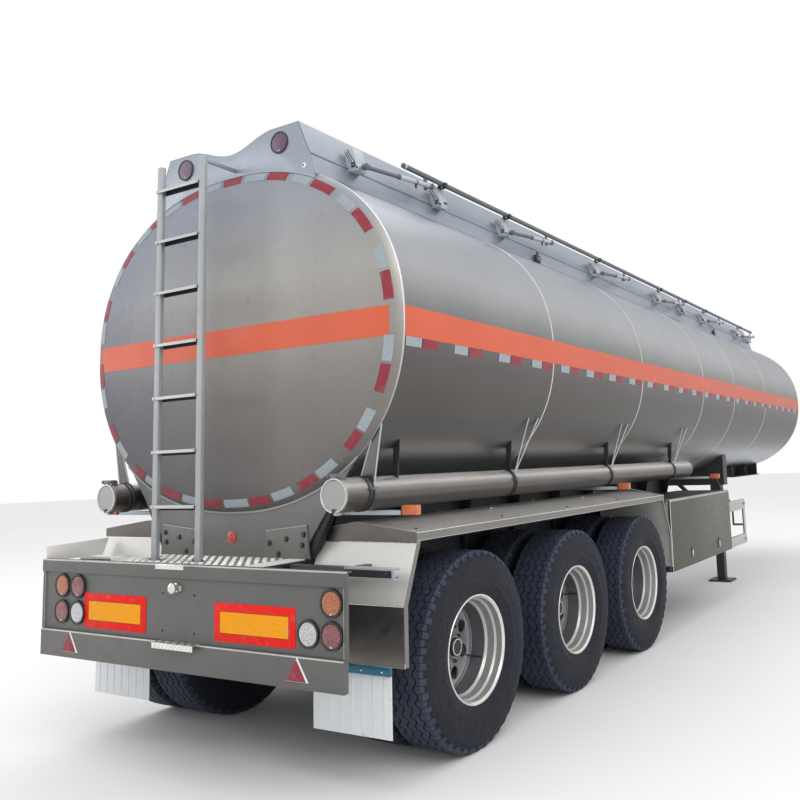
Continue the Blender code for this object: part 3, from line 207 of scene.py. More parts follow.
def worn_surface(name, base, roughness, metallic, grain, spread, dirt, dirt_colour,
                 bump=0.15, painted_light=None, rough_spread=0.10):
    """Painted or bare metal: broad tone changes, a fine grain, dirt, and painted reflection, highlight and
    shade along axes.
    """
    made, tree, shader = grow_nodes(name, base, roughness, metallic)
    broad = noise(tree, 2.2, detail=5.0)
    fine = noise(tree, 9.0, grain, detail=6.0, rough=0.7)
    tone = remap(tree, broad, 0.3, 0.7, 0.0, 1.0, True)
    colour = blend_colours(tree, tone, scaled(base, 1 - spread), scaled(base, 1 + spread))
    streak = remap(tree, fine, 0.35, 0.65, 0.0, 0.35)
    colour = blend_colours(tree, streak, colour, scaled(base, 1 + spread * 1.5))
    spots = remap(tree, noise(tree, 14.0, detail=8.0, rough=0.7), 0.56, 0.72, 0.0, dirt, True)
    colour = blend_colours(tree, spots, colour, dirt_colour)
    for axis, stops in painted_light or ():
        colour = paint_light_along(tree, axis, colour, stops)
    tree.links.new(colour, shader.inputs["Base Color"])
    rough = remap(tree, fine, 0.3, 0.7, max(0.05, roughness - rough_spread), roughness + rough_spread)
    tree.links.new(rough, shader.inputs["Roughness"])
    relief(tree, shader, fine, bump, 0.0008)
    return made


def celled_surface(name, base, roughness, cell, depth, coat=0.6, spread=0.25, metallic=0.0):
    """Lens or reflective sheet: small moulded cells under a clear face."""
    made, tree, shader = grow_nodes(name, base, roughness, metallic)
    spot = tree.nodes.new("ShaderNodeTexCoord")
    cells = tree.nodes.new("ShaderNodeTexVoronoi")
    cells.inputs["Scale"].default_value = cell
    tree.links.new(spot.outputs["Object"], cells.inputs["Vector"])
    share = remap(tree, cells.outputs["Distance"], 0.0, 0.7, 0.0, 1.0)
    colour = blend_colours(tree, share, scaled(base, 1 + spread), scaled(base, 1 - spread))
    film = remap(tree, noise(tree, 22.0, detail=6.0), 0.5, 0.8, 0.0, 0.25, True)
    colour = blend_colours(tree, film, colour, (0.30, 0.28, 0.25))
    tree.links.new(colour, shader.inputs["Base Color"])
    rough = remap(tree, noise(tree, 30.0), 0.3, 0.7, roughness * 0.8, roughness * 1.3)
    tree.links.new(rough, shader.inputs["Roughness"])
    shader.inputs["Coat Weight"].default_value = coat
    shader.inputs["Coat Roughness"].default_value = 0.08
    shader.inputs["Specular IOR Level"].default_value = 0.15 + 0.5 * coat
    relief(tree, shader, cells.outputs["Distance"], depth, 0.002)
    return made


# Painted reflection, highlight and shade along an axis of the trailer: (place, colour to multiply by)
# Tank sides: painted reflection, dark low down and light higher up.
side_painted_reflection = (
    (1.46, (0.80, 0.90, 1.00)), (1.56, (0.90, 0.97, 1.00)), (1.62, (0.80, 0.78, 0.80)),
    (1.68, (0.50, 0.48, 0.47)), (1.75, (0.31, 0.30, 0.29)), (1.82, (0.225, 0.215, 0.205)),
    (1.97, (0.218, 0.205, 0.187)), (2.14, (0.27, 0.247, 0.25)), (2.26, (0.34, 0.31, 0.30)),
    (2.36, (0.37, 0.36, 0.36)), (2.48, (0.55, 0.565, 0.56)), (2.56, (0.70, 0.705, 0.73)),
    (2.66, (0.80, 0.81, 0.84)), (2.78, (0.735, 0.76, 0.82)), (2.95, (0.565, 0.60, 0.66)),
    (3.12, (0.51, 0.60, 0.72)), (3.35, (0.56, 0.61, 0.68)),
)
# Rear head: painted reflection, darker towards the bottom.
head_painted_reflection = (
    (1.34, (0.30, 0.285, 0.275)), (1.60, (0.34, 0.32, 0.31)), (1.80, (0.377, 0.352, 0.337)),
    (1.95, (0.417, 0.40, 0.37)), (2.10, (0.49, 0.46, 0.435)), (2.25, (0.59, 0.56, 0.515)),
    (2.45, (0.63, 0.60, 0.565)), (2.65, (0.73, 0.71, 0.67)), (2.90, (0.65, 0.655, 0.67)),
    (3.10, (0.61, 0.64, 0.70)), (3.35, (0.58, 0.62, 0.69)),
)
# Rear head: painted reflection, bluer and darker towards the left side.
head_side_painted_reflection = (
    (-1.25, (0.58, 0.63, 0.76)), (-0.90, (0.66, 0.70, 0.81)), (-0.45, (0.78, 0.80, 0.86)),
    (0.00, (0.90, 0.90, 0.91)), (0.45, (1.00, 1.00, 1.00)), (1.25, (1.00, 1.00, 1.00)),
)
# Hose tubes: painted shade low down and in the middle, painted highlight along the top.
tube_painted_highlight_and_shade = (
    (1.352, (0.24, 0.215, 0.22)), (1.400, (0.13, 0.118, 0.118)), (1.440, (0.152, 0.145, 0.135)),
    (1.470, (0.34, 0.325, 0.31)), (1.500, (0.95, 0.93, 0.90)), (1.530, (1.0, 0.98, 0.96)),
)
# Tank: painted shade, darker the farther forward.
far_painted_shade = (
    (-5.10, (1.0, 1.0, 1.0)), (-0.60, (1.0, 1.0, 1.0)), (2.60, (0.84, 0.83, 0.83)),
    (5.60, (0.76, 0.75, 0.75)),
)
# Stripe: painted shade, darker the farther forward.
stripe_far_painted_shade = (
    (-5.10, (1.0, 0.93, 0.85)), (-0.60, (0.96, 0.86, 0.78)), (5.60, (0.84, 0.62, 0.52)),
)
# Rear rim: painted shade, darker towards the bottom.
rim_painted_shade = (
    (1.34, (0.24, 0.235, 0.23)), (1.75, (0.34, 0.33, 0.32)), (2.20, (0.62, 0.62, 0.62)),
    (2.60, (1.0, 1.0, 1.0)), (3.35, (1.0, 1.0, 1.0)),
)


def finish(name):
    """Return the named finish, made on its first use."""
    found = bpy.data.materials.get("look_" + name)
    if found:
        return found
    tone = bpy.context.scene.tanker_finishes
    grime = (0.10, 0.092, 0.082)
    metals = {
        # The tank, head, tube, stripe and rim finishes carry painted reflection, highlight and shade along
        # axes.
        "tank_metal": (
            tuple(tone.tank_colour), tone.tank_roughness, 1.0, (1.2, 26.0, 1.2), 0.05, 0.12, grime,
            0.10, (("Z", side_painted_reflection), ("Y", far_painted_shade))),
        "head_metal": (
            tuple(tone.tank_colour), tone.tank_roughness + 0.14, 0.8, (26.0, 1.2, 1.0), 0.06, 0.14, grime,
            0.10, (("Z", head_painted_reflection), ("X", head_side_painted_reflection))),
        "coaming_metal": ((0.335, 0.375, 0.43), 0.42, 0.8, (14.0, 1.2, 1.0), 0.06, 0.14, grime, 0.10),
        "bracket_grey": (
            (0.43, 0.47, 0.50), 0.44, 0.3, (8.0, 8.0, 8.0), 0.08, 0.15, (0.14, 0.13, 0.12), 0.12),
        "tube_metal": (
            (0.86, 0.85, 0.84), 0.36, 0.9, (9.0, 1.0, 9.0), 0.05, 0.10, grime, 0.06, (("Z", tube_painted_highlight_and_shade),)),
        "cap_metal": ((0.36, 0.36, 0.35), 0.42, 0.6, (6.0, 6.0, 6.0), 0.06, 0.12, grime, 0.06),
        "sheet_metal": ((0.50, 0.49, 0.465), 0.33, 1.0, (1.0, 9.0, 9.0), 0.09, 0.22, grime, 0.12),
        "fender_top": ((0.47, 0.455, 0.43), 0.44, 0.3, (1.0, 9.0, 9.0), 0.08, 0.14, grime, 0.10),
        "satin_panel": ((0.66, 0.65, 0.62), 0.42, 0.35, (1.0, 9.0, 9.0), 0.03, 0.05, grime, 0.06),
        "lip_metal": ((0.215, 0.205, 0.19), 0.38, 0.7, (9.0, 1.0, 9.0), 0.06, 0.15, grime, 0.08),
        "door_metal": ((0.108, 0.105, 0.090), 0.42, 0.8, (14.0, 1.0, 14.0), 0.06, 0.20, grime, 0.10),
        # Dull dark metal; also the painted shadow line under the coaming's fold and the painted shade on the
        # fenders' lower panels.
        "dull_metal": ((0.17, 0.16, 0.15), 0.38, 0.9, (1.0, 9.0, 1.0), 0.10, 0.25, grime, 0.12),
        "bright_metal": (
            (0.74, 0.74, 0.72), 0.26, 1.0, (6.0, 6.0, 6.0), 0.08, 0.22, (0.28, 0.26, 0.24), 0.12),
        "weld_metal": ((0.66, 0.66, 0.65), 0.36, 1.0, (20.0, 20.0, 20.0), 0.12, 0.25, grime, 0.5),
        "pale_sheet": ((0.80, 0.78, 0.76), 0.52, 0.0, (8.0, 2.0, 2.0), 0.04, 0.12, (0.40, 0.37, 0.33), 0.10),
        "grey_paint": (
            tuple(tone.board_colour), 0.46, 0.25, (3.0, 3.0, 3.0), 0.07, 0.45, (0.075, 0.072, 0.068), 0.10),
        # Lighter worn metal; also thin strips that paint highlights along the edges of the lamp board's cap and
        # the underrun beam.
        "worn_edge": ((0.50, 0.49, 0.47), 0.42, 0.7, (12.0, 4.0, 12.0), 0.15, 0.35, (0.16, 0.15, 0.14), 0.2),
        "saddle_paint": (
            (0.165, 0.162, 0.155), 0.50, 0.3, (3.0, 3.0, 3.0), 0.08, 0.40, (0.08, 0.075, 0.07), 0.12),
        "dark_paint": (
            (0.022, 0.024, 0.028), 0.48, 0.1, (4.0, 2.0, 4.0), 0.20, 0.50, (0.085, 0.078, 0.068), 0.15),
        "ladder_grey": (
            (0.34, 0.36, 0.37), 0.44, 0.35, (8.0, 8.0, 2.0), 0.08, 0.28, (0.20, 0.19, 0.17), 0.12),
        "rung_light": (
            (0.44, 0.455, 0.47), 0.40, 0.5, (2.0, 12.0, 12.0), 0.08, 0.25, (0.28, 0.26, 0.23), 0.12),
        "rail_grey": (
            (0.150, 0.160, 0.185), 0.42, 0.6, (8.0, 1.5, 8.0), 0.10, 0.25, (0.09, 0.085, 0.08), 0.12),
        "rim_silver": (
            (0.47, 0.47, 0.455), 0.34, 0.60, (4.0, 4.0, 4.0), 0.05, 0.04, (0.35, 0.32, 0.29), 0.02),
        "rim_shade": ((0.17, 0.175, 0.185), 0.40, 0.6, (4.0, 4.0, 4.0), 0.06, 0.06, (0.10, 0.09, 0.08), 0.02),
        "disc_silver": (
            (0.30, 0.305, 0.32), 0.40, 0.6, (4.0, 4.0, 4.0), 0.08, 0.12, (0.14, 0.125, 0.11), 0.03),
        "nut_steel": (
            (0.085, 0.082, 0.078), 0.42, 0.8, (30.0, 30.0, 30.0), 0.2, 0.3, (0.12, 0.08, 0.05), 0.2),
        "flap_white": ((0.66, 0.69, 0.71), 0.55, 0.0, (3.0, 3.0, 5.0), 0.05, 0.35, (0.40, 0.38, 0.34), 0.12),
        "stripe_orange": (
            tuple(tone.stripe_colour), 0.40, 0.0, (1.0, 6.0, 1.0), 0.05, 0.10, (0.45, 0.16, 0.06),
            0.08, (("Y", stripe_far_painted_shade),)),
        "rim_edge": (
            (0.78, 0.78, 0.78), 0.38, 0.0, (9.0, 9.0, 9.0), 0.04, 0.10, grime, 0.08, (("Z", rim_painted_shade),)),
        "strip_blue": ((0.012, 0.115, 0.185), 0.35, 0.1, (4.0, 4.0, 4.0), 0.1, 0.2, (0.05, 0.08, 0.1), 0.1),
        "black_plastic": (
            (0.018, 0.017, 0.018), 0.45, 0.0, (9.0, 9.0, 9.0), 0.2, 0.35, (0.06, 0.055, 0.05), 0.15),
        # Near black for holes, the insides of the rung channels and the brake drums: painted shade.
        "hole_dark": ((0.008, 0.008, 0.010), 0.80, 0.0, (9.0, 9.0, 9.0), 0.3, 0.2, (0.02, 0.02, 0.02), 0.1),
        "enamel_white": (
            (0.75, 0.76, 0.76), 0.35, 0.0, (5.0, 5.0, 5.0), 0.05, 0.25, (0.45, 0.43, 0.40), 0.08),
        "sealant_grey": ((0.34, 0.34, 0.33), 0.60, 0.1, (20.0, 20.0, 20.0), 0.1, 0.3, (0.25, 0.23, 0.2), 0.5),
    }
    cells = {
        "sheet_red": (tuple(tone.red_colour), 0.40, 140.0, 0.15, 0.1, 0.12),
        "sheet_white": ((0.31, 0.355, 0.39), 0.40, 140.0, 0.15, 0.1, 0.10),
        "plate_red": ((0.74, 0.014, 0.010), 0.50, 90.0, 0.08, 0.0, 0.08),
        "plate_amber": ((0.82, 0.32, 0.004), 0.50, 90.0, 0.08, 0.0, 0.06),
        "plate_dark": ((0.16, 0.03, 0.01), 0.50, 90.0, 0.08, 0.0, 0.10),
        "lens_amber": ((0.46, 0.135, 0.05), 0.20, 150.0, 0.60, 0.5, 0.45),
        "lens_red": ((0.27, 0.075, 0.085), 0.20, 150.0, 0.60, 0.5, 0.55),
        "lens_clear": ((0.52, 0.53, 0.54), 0.18, 150.0, 0.60, 0.6, 0.30),
        "lens_purple": ((0.125, 0.065, 0.135), 0.25, 130.0, 0.50, 0.4, 0.40),
        "lens_orange": ((0.62, 0.155, 0.055), 0.30, 120.0, 0.35, 0.3, 0.15),
        "lens_round": ((0.55, 0.012, 0.016), 0.2, 150.0, 0.50, 0.8, 0.30),
    }
    rubbers = {
        "tyre_rubber": (tuple(tone.tyre_colour), (0.018, 0.021, 0.032)),
        "tread_rubber": (scaled(tone.tyre_colour, 3.8), (0.064, 0.071, 0.090)),
    }
    for make, table in ((worn_surface, metals), (celled_surface, cells), (rubber, rubbers)):
        if name in table:
            return make("look_" + name, *table[name])
    raise ValueError(f"no finish is named {name}")


def rubber(name, base, dust_colour):
    """Tyre rubber, dulled by road dust."""
    made, tree, shader = grow_nodes(name, base, 0.72, 0.0)
    shader.inputs["Specular IOR Level"].default_value = 0.35
    dust = remap(tree, noise(tree, 5.0, detail=8.0, rough=0.65), 0.42, 0.72, 0.0, 0.55, True)
    colour = blend_colours(tree, dust, base, dust_colour)
    fine = noise(tree, 60.0, detail=5.0, rough=0.7)
    colour = blend_colours(tree, remap(tree, fine, 0.4, 0.7, 0.0, 0.4), colour, scaled(base, 0.5))
    tree.links.new(colour, shader.inputs["Base Color"])
    tree.links.new(remap(tree, fine, 0.3, 0.7, 0.58, 0.85), shader.inputs["Roughness"])
    relief(tree, shader, fine, 0.25, 0.001)
    return made


# ---- Shapes ----

def block(low, high, bevel=0.0, segments=2):
    """Box between two corners, with rounded edges."""
    shape = bmesh.new()
    bmesh.ops.create_cube(shape, size=1.0)
    low, high = Vector(low), Vector(high)
    bmesh.ops.scale(shape, vec=high - low, verts=shape.verts)
    bmesh.ops.translate(shape, vec=(low + high) / 2, verts=shape.verts)
    soften(shape, bevel, segments)
    return shape


def soften(shape, offset, segments=2, sharper_than=math.radians(25)):
    """Bevel the edges of a shape that are sharper than an angle."""
    if not offset:
        return
    shape.normal_update()
    edges = [edge for edge in shape.edges
             if edge.is_manifold and abs(edge.calc_face_angle(0.0)) > sharper_than]
    bmesh.ops.bevel(shape, geom=edges, offset=offset, offset_type="OFFSET", segments=segments,
                    profile=0.5, affect="EDGES", clamp_overlap=True, material=-1)


def slab(outline, axis, low, high, bevel=0.0, segments=2):
    """Extrude an outline of (y, z), (x, z) or (x, y) points along an axis."""
    order = {"x": (2, 0, 1), "y": (0, 2, 1), "z": (0, 1, 2)}[axis]
    shape = bmesh.new()
    corners = []
    for first, second in outline:
        values = (first, second, low)
        corners.append(shape.verts.new([values[index] for index in order]))
    face = shape.faces.new(corners)
    swept = bmesh.ops.extrude_face_region(shape, geom=[face])
    moved = [item for item in swept["geom"] if isinstance(item, bmesh.types.BMVert)]
    step = Vector([(0.0, 0.0, high - low)[index] for index in order])
    bmesh.ops.translate(shape, vec=step, verts=moved)
    bmesh.ops.recalc_face_normals(shape, faces=shape.faces)
    soften(shape, bevel, segments)
    return shape


def lathe(profile, axis, centre, steps=32, loop=False):
    """Spin (along, radius) points round an axis; a loop is closed from its last point to its first."""
    shape = bmesh.new()
    way = {"x": Vector((1, 0, 0)), "y": Vector((0, 1, 0)), "z": Vector((0, 0, 1))}[axis]
    side = {"x": Vector((0, 0, 1)), "y": Vector((0, 0, 1)), "z": Vector((1, 0, 0))}[axis]
    verts = [shape.verts.new(Vector(centre) + way * along + side * radius) for along, radius in profile]
    for near, far in zip(verts, verts[1:]):
        shape.edges.new((near, far))
    if loop:
        shape.edges.new((verts[-1], verts[0]))
    bmesh.ops.spin(shape, geom=shape.verts[:] + shape.edges[:], cent=centre, axis=way,
                   dvec=(0.0, 0.0, 0.0), angle=2 * math.pi, steps=steps, use_merge=True)
    bmesh.ops.remove_doubles(shape, verts=shape.verts, dist=1e-6)
    bmesh.ops.recalc_face_normals(shape, faces=shape.faces)
    return shape


def rod(start, end, radius, sides=12, end_radius=None, bevel=0.0):
    """Round bar or cone from one point to another."""
    start, end = Vector(start), Vector(end)
    shape = bmesh.new()
    bmesh.ops.create_cone(
        shape, cap_ends=True, segments=sides, radius1=radius,
        radius2=radius if end_radius is None else end_radius, depth=(end - start).length)
    soften(shape, bevel, 2, math.radians(50))
    turn = (end - start).to_track_quat("Z", "Y").to_matrix().to_4x4()
    bmesh.ops.transform(shape, matrix=Matrix.Translation((start + end) / 2) @ turn, verts=shape.verts)
    return shape


def pipe(points, radius, sides=10, smooth=True):
    """Round tube along a path of points."""
    path = bpy.data.curves.new("path", "CURVE")
    path.dimensions = "3D"
    path.bevel_depth = radius
    path.bevel_resolution = max(1, sides // 4 - 1)
    path.use_fill_caps = True
    path.resolution_u = 4
    line = path.splines.new("NURBS" if smooth else "POLY")
    line.points.add(len(points) - 1)
    for spot, point in zip(line.points, points):
        spot.co = (*point, 1.0)
    if smooth:
        line.order_u = 3
        line.use_endpoint_u = True
    holder = bpy.data.objects.new("path", path)
    mesh = bpy.data.meshes.new_from_object(holder)
    shape = bmesh.new()
    shape.from_mesh(mesh)
    bmesh.ops.remove_doubles(shape, verts=shape.verts, dist=1e-6)
    bmesh.ops.recalc_face_normals(shape, faces=shape.faces)
    bpy.data.meshes.remove(mesh)
    bpy.data.objects.remove(holder)
    bpy.data.curves.remove(path)
    return shape


def bolt(centre, direction, radius=0.009, height=0.007):
    """Hexagon head on a washer, seated at a point."""
    centre, direction = Vector(centre), Vector(direction).normalized()
    washer = rod(centre - direction * 0.001, centre + direction * 0.0015, radius * 1.45, 12)
    head = rod(centre, centre + direction * height, radius, 6, bevel=radius * 0.12)
    return merged(washer, head)


def merged(*shapes):
    """Gather several shapes into the first."""
    whole = shapes[0]
    for shape in shapes[1:]:
        mesh = bpy.data.meshes.new("shape")
        shape.to_mesh(mesh)
        shape.free()
        whole.from_mesh(mesh)
        bpy.data.meshes.remove(mesh)
    return whole


def moved(shape, matrix):
    """Move or turn a shape."""
    bmesh.ops.transform(shape, matrix=matrix, verts=shape.verts)
    return shape


def flipped(shape):
    """Mirror a shape across the trailer's middle plane."""
    bmesh.ops.scale(shape, vec=(-1.0, 1.0, 1.0), verts=shape.verts)
    bmesh.ops.reverse_faces(shape, faces=shape.faces)
    return shape


class Piece:
    """One piece under construction: simple shapes, each with its own finish."""

    def __init__(self, name):
        self.name = name
        self.body = bmesh.new()
        self.finishes = []

    def add(self, name, *shapes):
        """Add shapes that take the named finish."""
        if name not in self.finishes:
            self.finishes.append(name)
        for shape in shapes:
            for face in shape.faces:
                face.material_index = self.finishes.index(name)
            merged(self.body, shape)
        return self

    def add_both(self, name, shape):
        """Add a shape and its mirror image."""
        return self.add(name, shape.copy(), flipped(shape))

    def place(self, slot, body="root", replaces=(), mirror=False, smooth=35.0, name=None, at=None):
        """Turn the piece, or its mirror image, into an object that rides on a body."""
        shape = self.body.copy()
        if mirror:
            flipped(shape)
        if at is not None:
            moved(shape, at)
        bmesh.ops.translate(shape, vec=(0.0, board_y, 0.0), verts=shape.verts)
        mesh = bpy.data.meshes.new(name or self.name)
        shape.to_mesh(mesh)
        shape.free()
        for used in self.finishes:
            mesh.materials.append(finish(used))
        mesh.shade_smooth()
        mesh.set_sharp_from_angle(angle=math.radians(smooth))
        made = bpy.data.objects.new(name or self.name, mesh)
        bpy.context.scene.collection.objects.link(made)
        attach(made, body)
        if replaces:
            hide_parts(*replaces)
        return made

    def place_pair(self, slot, bodies=("root", "root"), replaced=None, smooth=35.0):
        """Place a right-hand piece and its mirror image on the left."""
        for side, body, mirror in (("right", bodies[0], False), ("left", bodies[1], True)):
            nodes = [f"{replaced}_{side}"] if replaced else ()
            self.place(slot, body, nodes, mirror, smooth, f"{self.name}_{side}")


def section(angle, share=1.0, grow=0.0):
    """Return (x, z) on the tank's section, scaled by a share or grown outwards."""
    power = 2 / squareness
    across = math.copysign(abs(math.cos(angle)) ** power, math.cos(angle))
    up = math.copysign(abs(math.sin(angle)) ** power, math.sin(angle))
    return ((half_width * share + grow) * across, centre_z + (half_height * share + grow) * up)


def side_x(z, grow=0.0):
    """Return the tank's half width at a height."""
    height, width = half_height + grow, half_width + grow
    return width * (1 - abs((z - centre_z) / height) ** squareness) ** (1 / squareness)


def shell_z(x, grow=0.0):
    """Return the height of the tank's underside above a point across."""
    height, width = half_height + grow, half_width + grow
    return centre_z - height * (1 - abs(x / width) ** squareness) ** (1 / squareness)


def roof_z(x):
    """Return the height just over the tank's top at a point across."""
    return 2 * centre_z - shell_z(x, shell_gap)


def head_share(x, z):
    """Return the share of the section that passes through a point of the head."""
    across, up = abs(x / half_width), abs((z - centre_z) / half_height)
    return (across ** squareness + up ** squareness) ** (1 / squareness)


def head_y(share):
    """Return how far back the rear head is at a share of the section."""
    for (near, near_depth), (far, far_depth) in zip(head_profile, head_profile[1:]):
        if share <= far:
            blend = max(0.0, (share - near) / (far - near))
            return rear_y - rear_crown * (near_depth + (far_depth - near_depth) * blend)
    return rear_y


def patch(across, along, place_point, thickness=0.0009):
    """Thin sheet laid on a surface: a grid whose points (0 to 1, 0 to 1) are placed by a function."""
    shape = bmesh.new()
    bmesh.ops.create_grid(shape, x_segments=across, y_segments=along, size=0.5)
    for vert in shape.verts:
        vert.co = place_point(vert.co.x + 0.5, vert.co.y + 0.5)
    shape.normal_update()
    bmesh.ops.solidify(shape, geom=shape.faces[:], thickness=thickness)
    bmesh.ops.recalc_face_normals(shape, faces=shape.faces)
    return shape


# ---- Settings ----

class TankerFinishes(bpy.types.PropertyGroup):
    """Colours and gloss of the main finishes."""

    # The tank's lower half is darkened by painted reflection along its height.
    tank_colour: FloatVectorProperty(
        name="Tank colour", description="Bare metal of the tank's upper half", subtype="COLOR",
        default=(0.50, 0.50, 0.50), min=0.0, max=1.0)
    tank_roughness: FloatProperty(
        name="Tank roughness", description="How satin the tank's metal is", subtype="FACTOR",
        default=0.36, min=0.05, max=1.0)
    stripe_colour: FloatVectorProperty(
        name="Stripe colour", description="Warning stripe round the tank", subtype="COLOR",
        default=(0.58, 0.100, 0.043), min=0.0, max=1.0)
    red_colour: FloatVectorProperty(
        name="Red sheet colour", description="Red of the reflective blocks", subtype="COLOR",
        default=(0.265, 0.034, 0.050), min=0.0, max=1.0)
    board_colour: FloatVectorProperty(
        name="Board colour", description="Paint of the lamp board and the underrun beam",
        subtype="COLOR", default=(0.112, 0.111, 0.108), min=0.0, max=1.0)
    tyre_colour: FloatVectorProperty(
        name="Tyre colour", description="Rubber of the tyres", subtype="COLOR",
        default=(0.0085, 0.0105, 0.0180), min=0.0, max=1.0)


class TankerSizes(bpy.types.PropertyGroup):
    """Sizes of the details that the looks add."""

    seam_rise: FloatProperty(
        name="Seam rise", description="How proud the tank's weld seams stand", unit="LENGTH",
        default=0.0014, min=0.0003, max=0.004)
    tape_thickness: FloatProperty(
        name="Tape thickness", description="Thickness of the stripe and the reflective blocks",
        unit="LENGTH", default=0.0009, min=0.0003, max=0.003)
    tread_depth: FloatProperty(
        name="Tread depth", description="Depth of the tyres' grooves", unit="LENGTH",
        default=0.011, min=0.004, max=0.018)
    tread_pitches: IntProperty(
        name="Tread pitches", description="Blocks round each rib of a tyre", default=44, min=20, max=80)
    hand_holes: IntProperty(
        name="Hand holes", description="Holes through each wheel's disc", default=8, min=4, max=12)
    manhole_bolts: IntProperty(
        name="Manhole bolts", description="Bolts round each manhole", default=16, min=6, max=32)


class PieceOperator:
    """What the operators share: they run in one step and can be undone."""

    bl_options = {"REGISTER", "UNDO"}

    def execute(self, context):
        self.build(context)
        return {"FINISHED"}


# ---- Stage ----

class TANKER_OT_stage(PieceOperator, bpy.types.Operator):
    """Camera at the photograph's place, plain floor and soft studio light"""

    bl_idname = "tanker.stage"
    bl_label = "Stage"

    def build(self, context):
        self.build_camera(context.scene)
        self.build_floor(context.scene)
        self.build_light(context.scene)

    def build_camera(self, scene):
        """Camera with the place, turn and lens solved from the photograph."""
        lens = bpy.data.cameras.new("camera")
        lens.sensor_width = 36.0
        lens.lens = 37.22
        lens.shift_x = -0.1443
        lens.shift_y = -0.0489
        lens.clip_end = 200.0
        camera = bpy.data.objects.new("camera", lens)
        scene.collection.objects.link(camera)
        yaw, pitch, roll = -0.511444, 0.122150, -0.035121
        ahead = Vector((math.sin(yaw) * math.cos(pitch), math.cos(yaw) * math.cos(pitch), math.sin(pitch)))
        right = Vector((math.cos(yaw), -math.sin(yaw), 0.0))
        up = right.cross(ahead)
        level = right * math.cos(roll) + up * math.sin(roll)
        upright = up * math.cos(roll) - right * math.sin(roll)
        camera.matrix_world = Matrix((
            (level.x, upright.x, -ahead.x, 3.79888),
            (level.y, upright.y, -ahead.y, -8.45433),
            (level.z, upright.z, -ahead.z, 1.57274),
            (0.0, 0.0, 0.0, 1.0)))
        scene.camera = camera
        scene.view_settings.view_transform = "Standard"

    def build_floor(self, scene):
        """Pale round floor."""
        floor = bmesh.new()
        bmesh.ops.create_circle(floor, cap_ends=True, segments=96, radius=60.0)
        swept = bmesh.ops.extrude_face_region(floor, geom=floor.faces[:])
        lower = [item for item in swept["geom"] if isinstance(item, bmesh.types.BMVert)]
        bmesh.ops.translate(floor, vec=(0.0, 0.0, -0.05), verts=lower)
        bmesh.ops.recalc_face_normals(floor, faces=floor.faces)
        mesh = bpy.data.meshes.new("studio_floor")
        floor.to_mesh(mesh)
        floor.free()
        ground, tree, shader = grow_nodes("look_studio_floor", (0.82, 0.82, 0.82), 0.9, 0.0)
        tone = remap(tree, noise(tree, 0.6, detail=6.0), 0.3, 0.7, 0.0, 1.0)
        colour = blend_colours(tree, tone, (0.81, 0.81, 0.81), (0.83, 0.83, 0.83))
        tree.links.new(colour, shader.inputs["Base Color"])
        mesh.materials.append(ground)
        stage = bpy.data.objects.new("studio_floor", mesh)
        scene.collection.objects.link(stage)

    def build_light(self, scene):
        """White surroundings and three large soft lamps."""
        world = bpy.data.worlds.new("studio")
        world.use_nodes = True
        sky = world.node_tree.nodes["Background"]
        sky.inputs["Color"].default_value = (1.0, 1.0, 1.0, 1.0)
        sky.inputs["Strength"].default_value = 1.0
        scene.world = world
        for label, place, aim, size, power in (
                ("key_light", (9.0, -9.0, 9.0), (0.0, -1.0, 1.5), 9.0, 450.0),
                ("top_light", (-2.0, 0.0, 12.0), (0.0, 0.0, 2.0), 14.0, 500.0),
                ("left_light", (-9.0, -10.0, 5.0), (0.0, -4.0, 1.5), 7.0, 120.0)):
            light = bpy.data.lights.new(label, "AREA")
            light.shape = "DISK"
            light.size = size
            light.energy = power
            lit = bpy.data.objects.new(label, light)
            scene.collection.objects.link(lit)
            lit.location = place
            lit.rotation_euler = (Vector(aim) - Vector(place)).to_track_quat("-Z", "Y").to_euler()


# ---- Tank ----

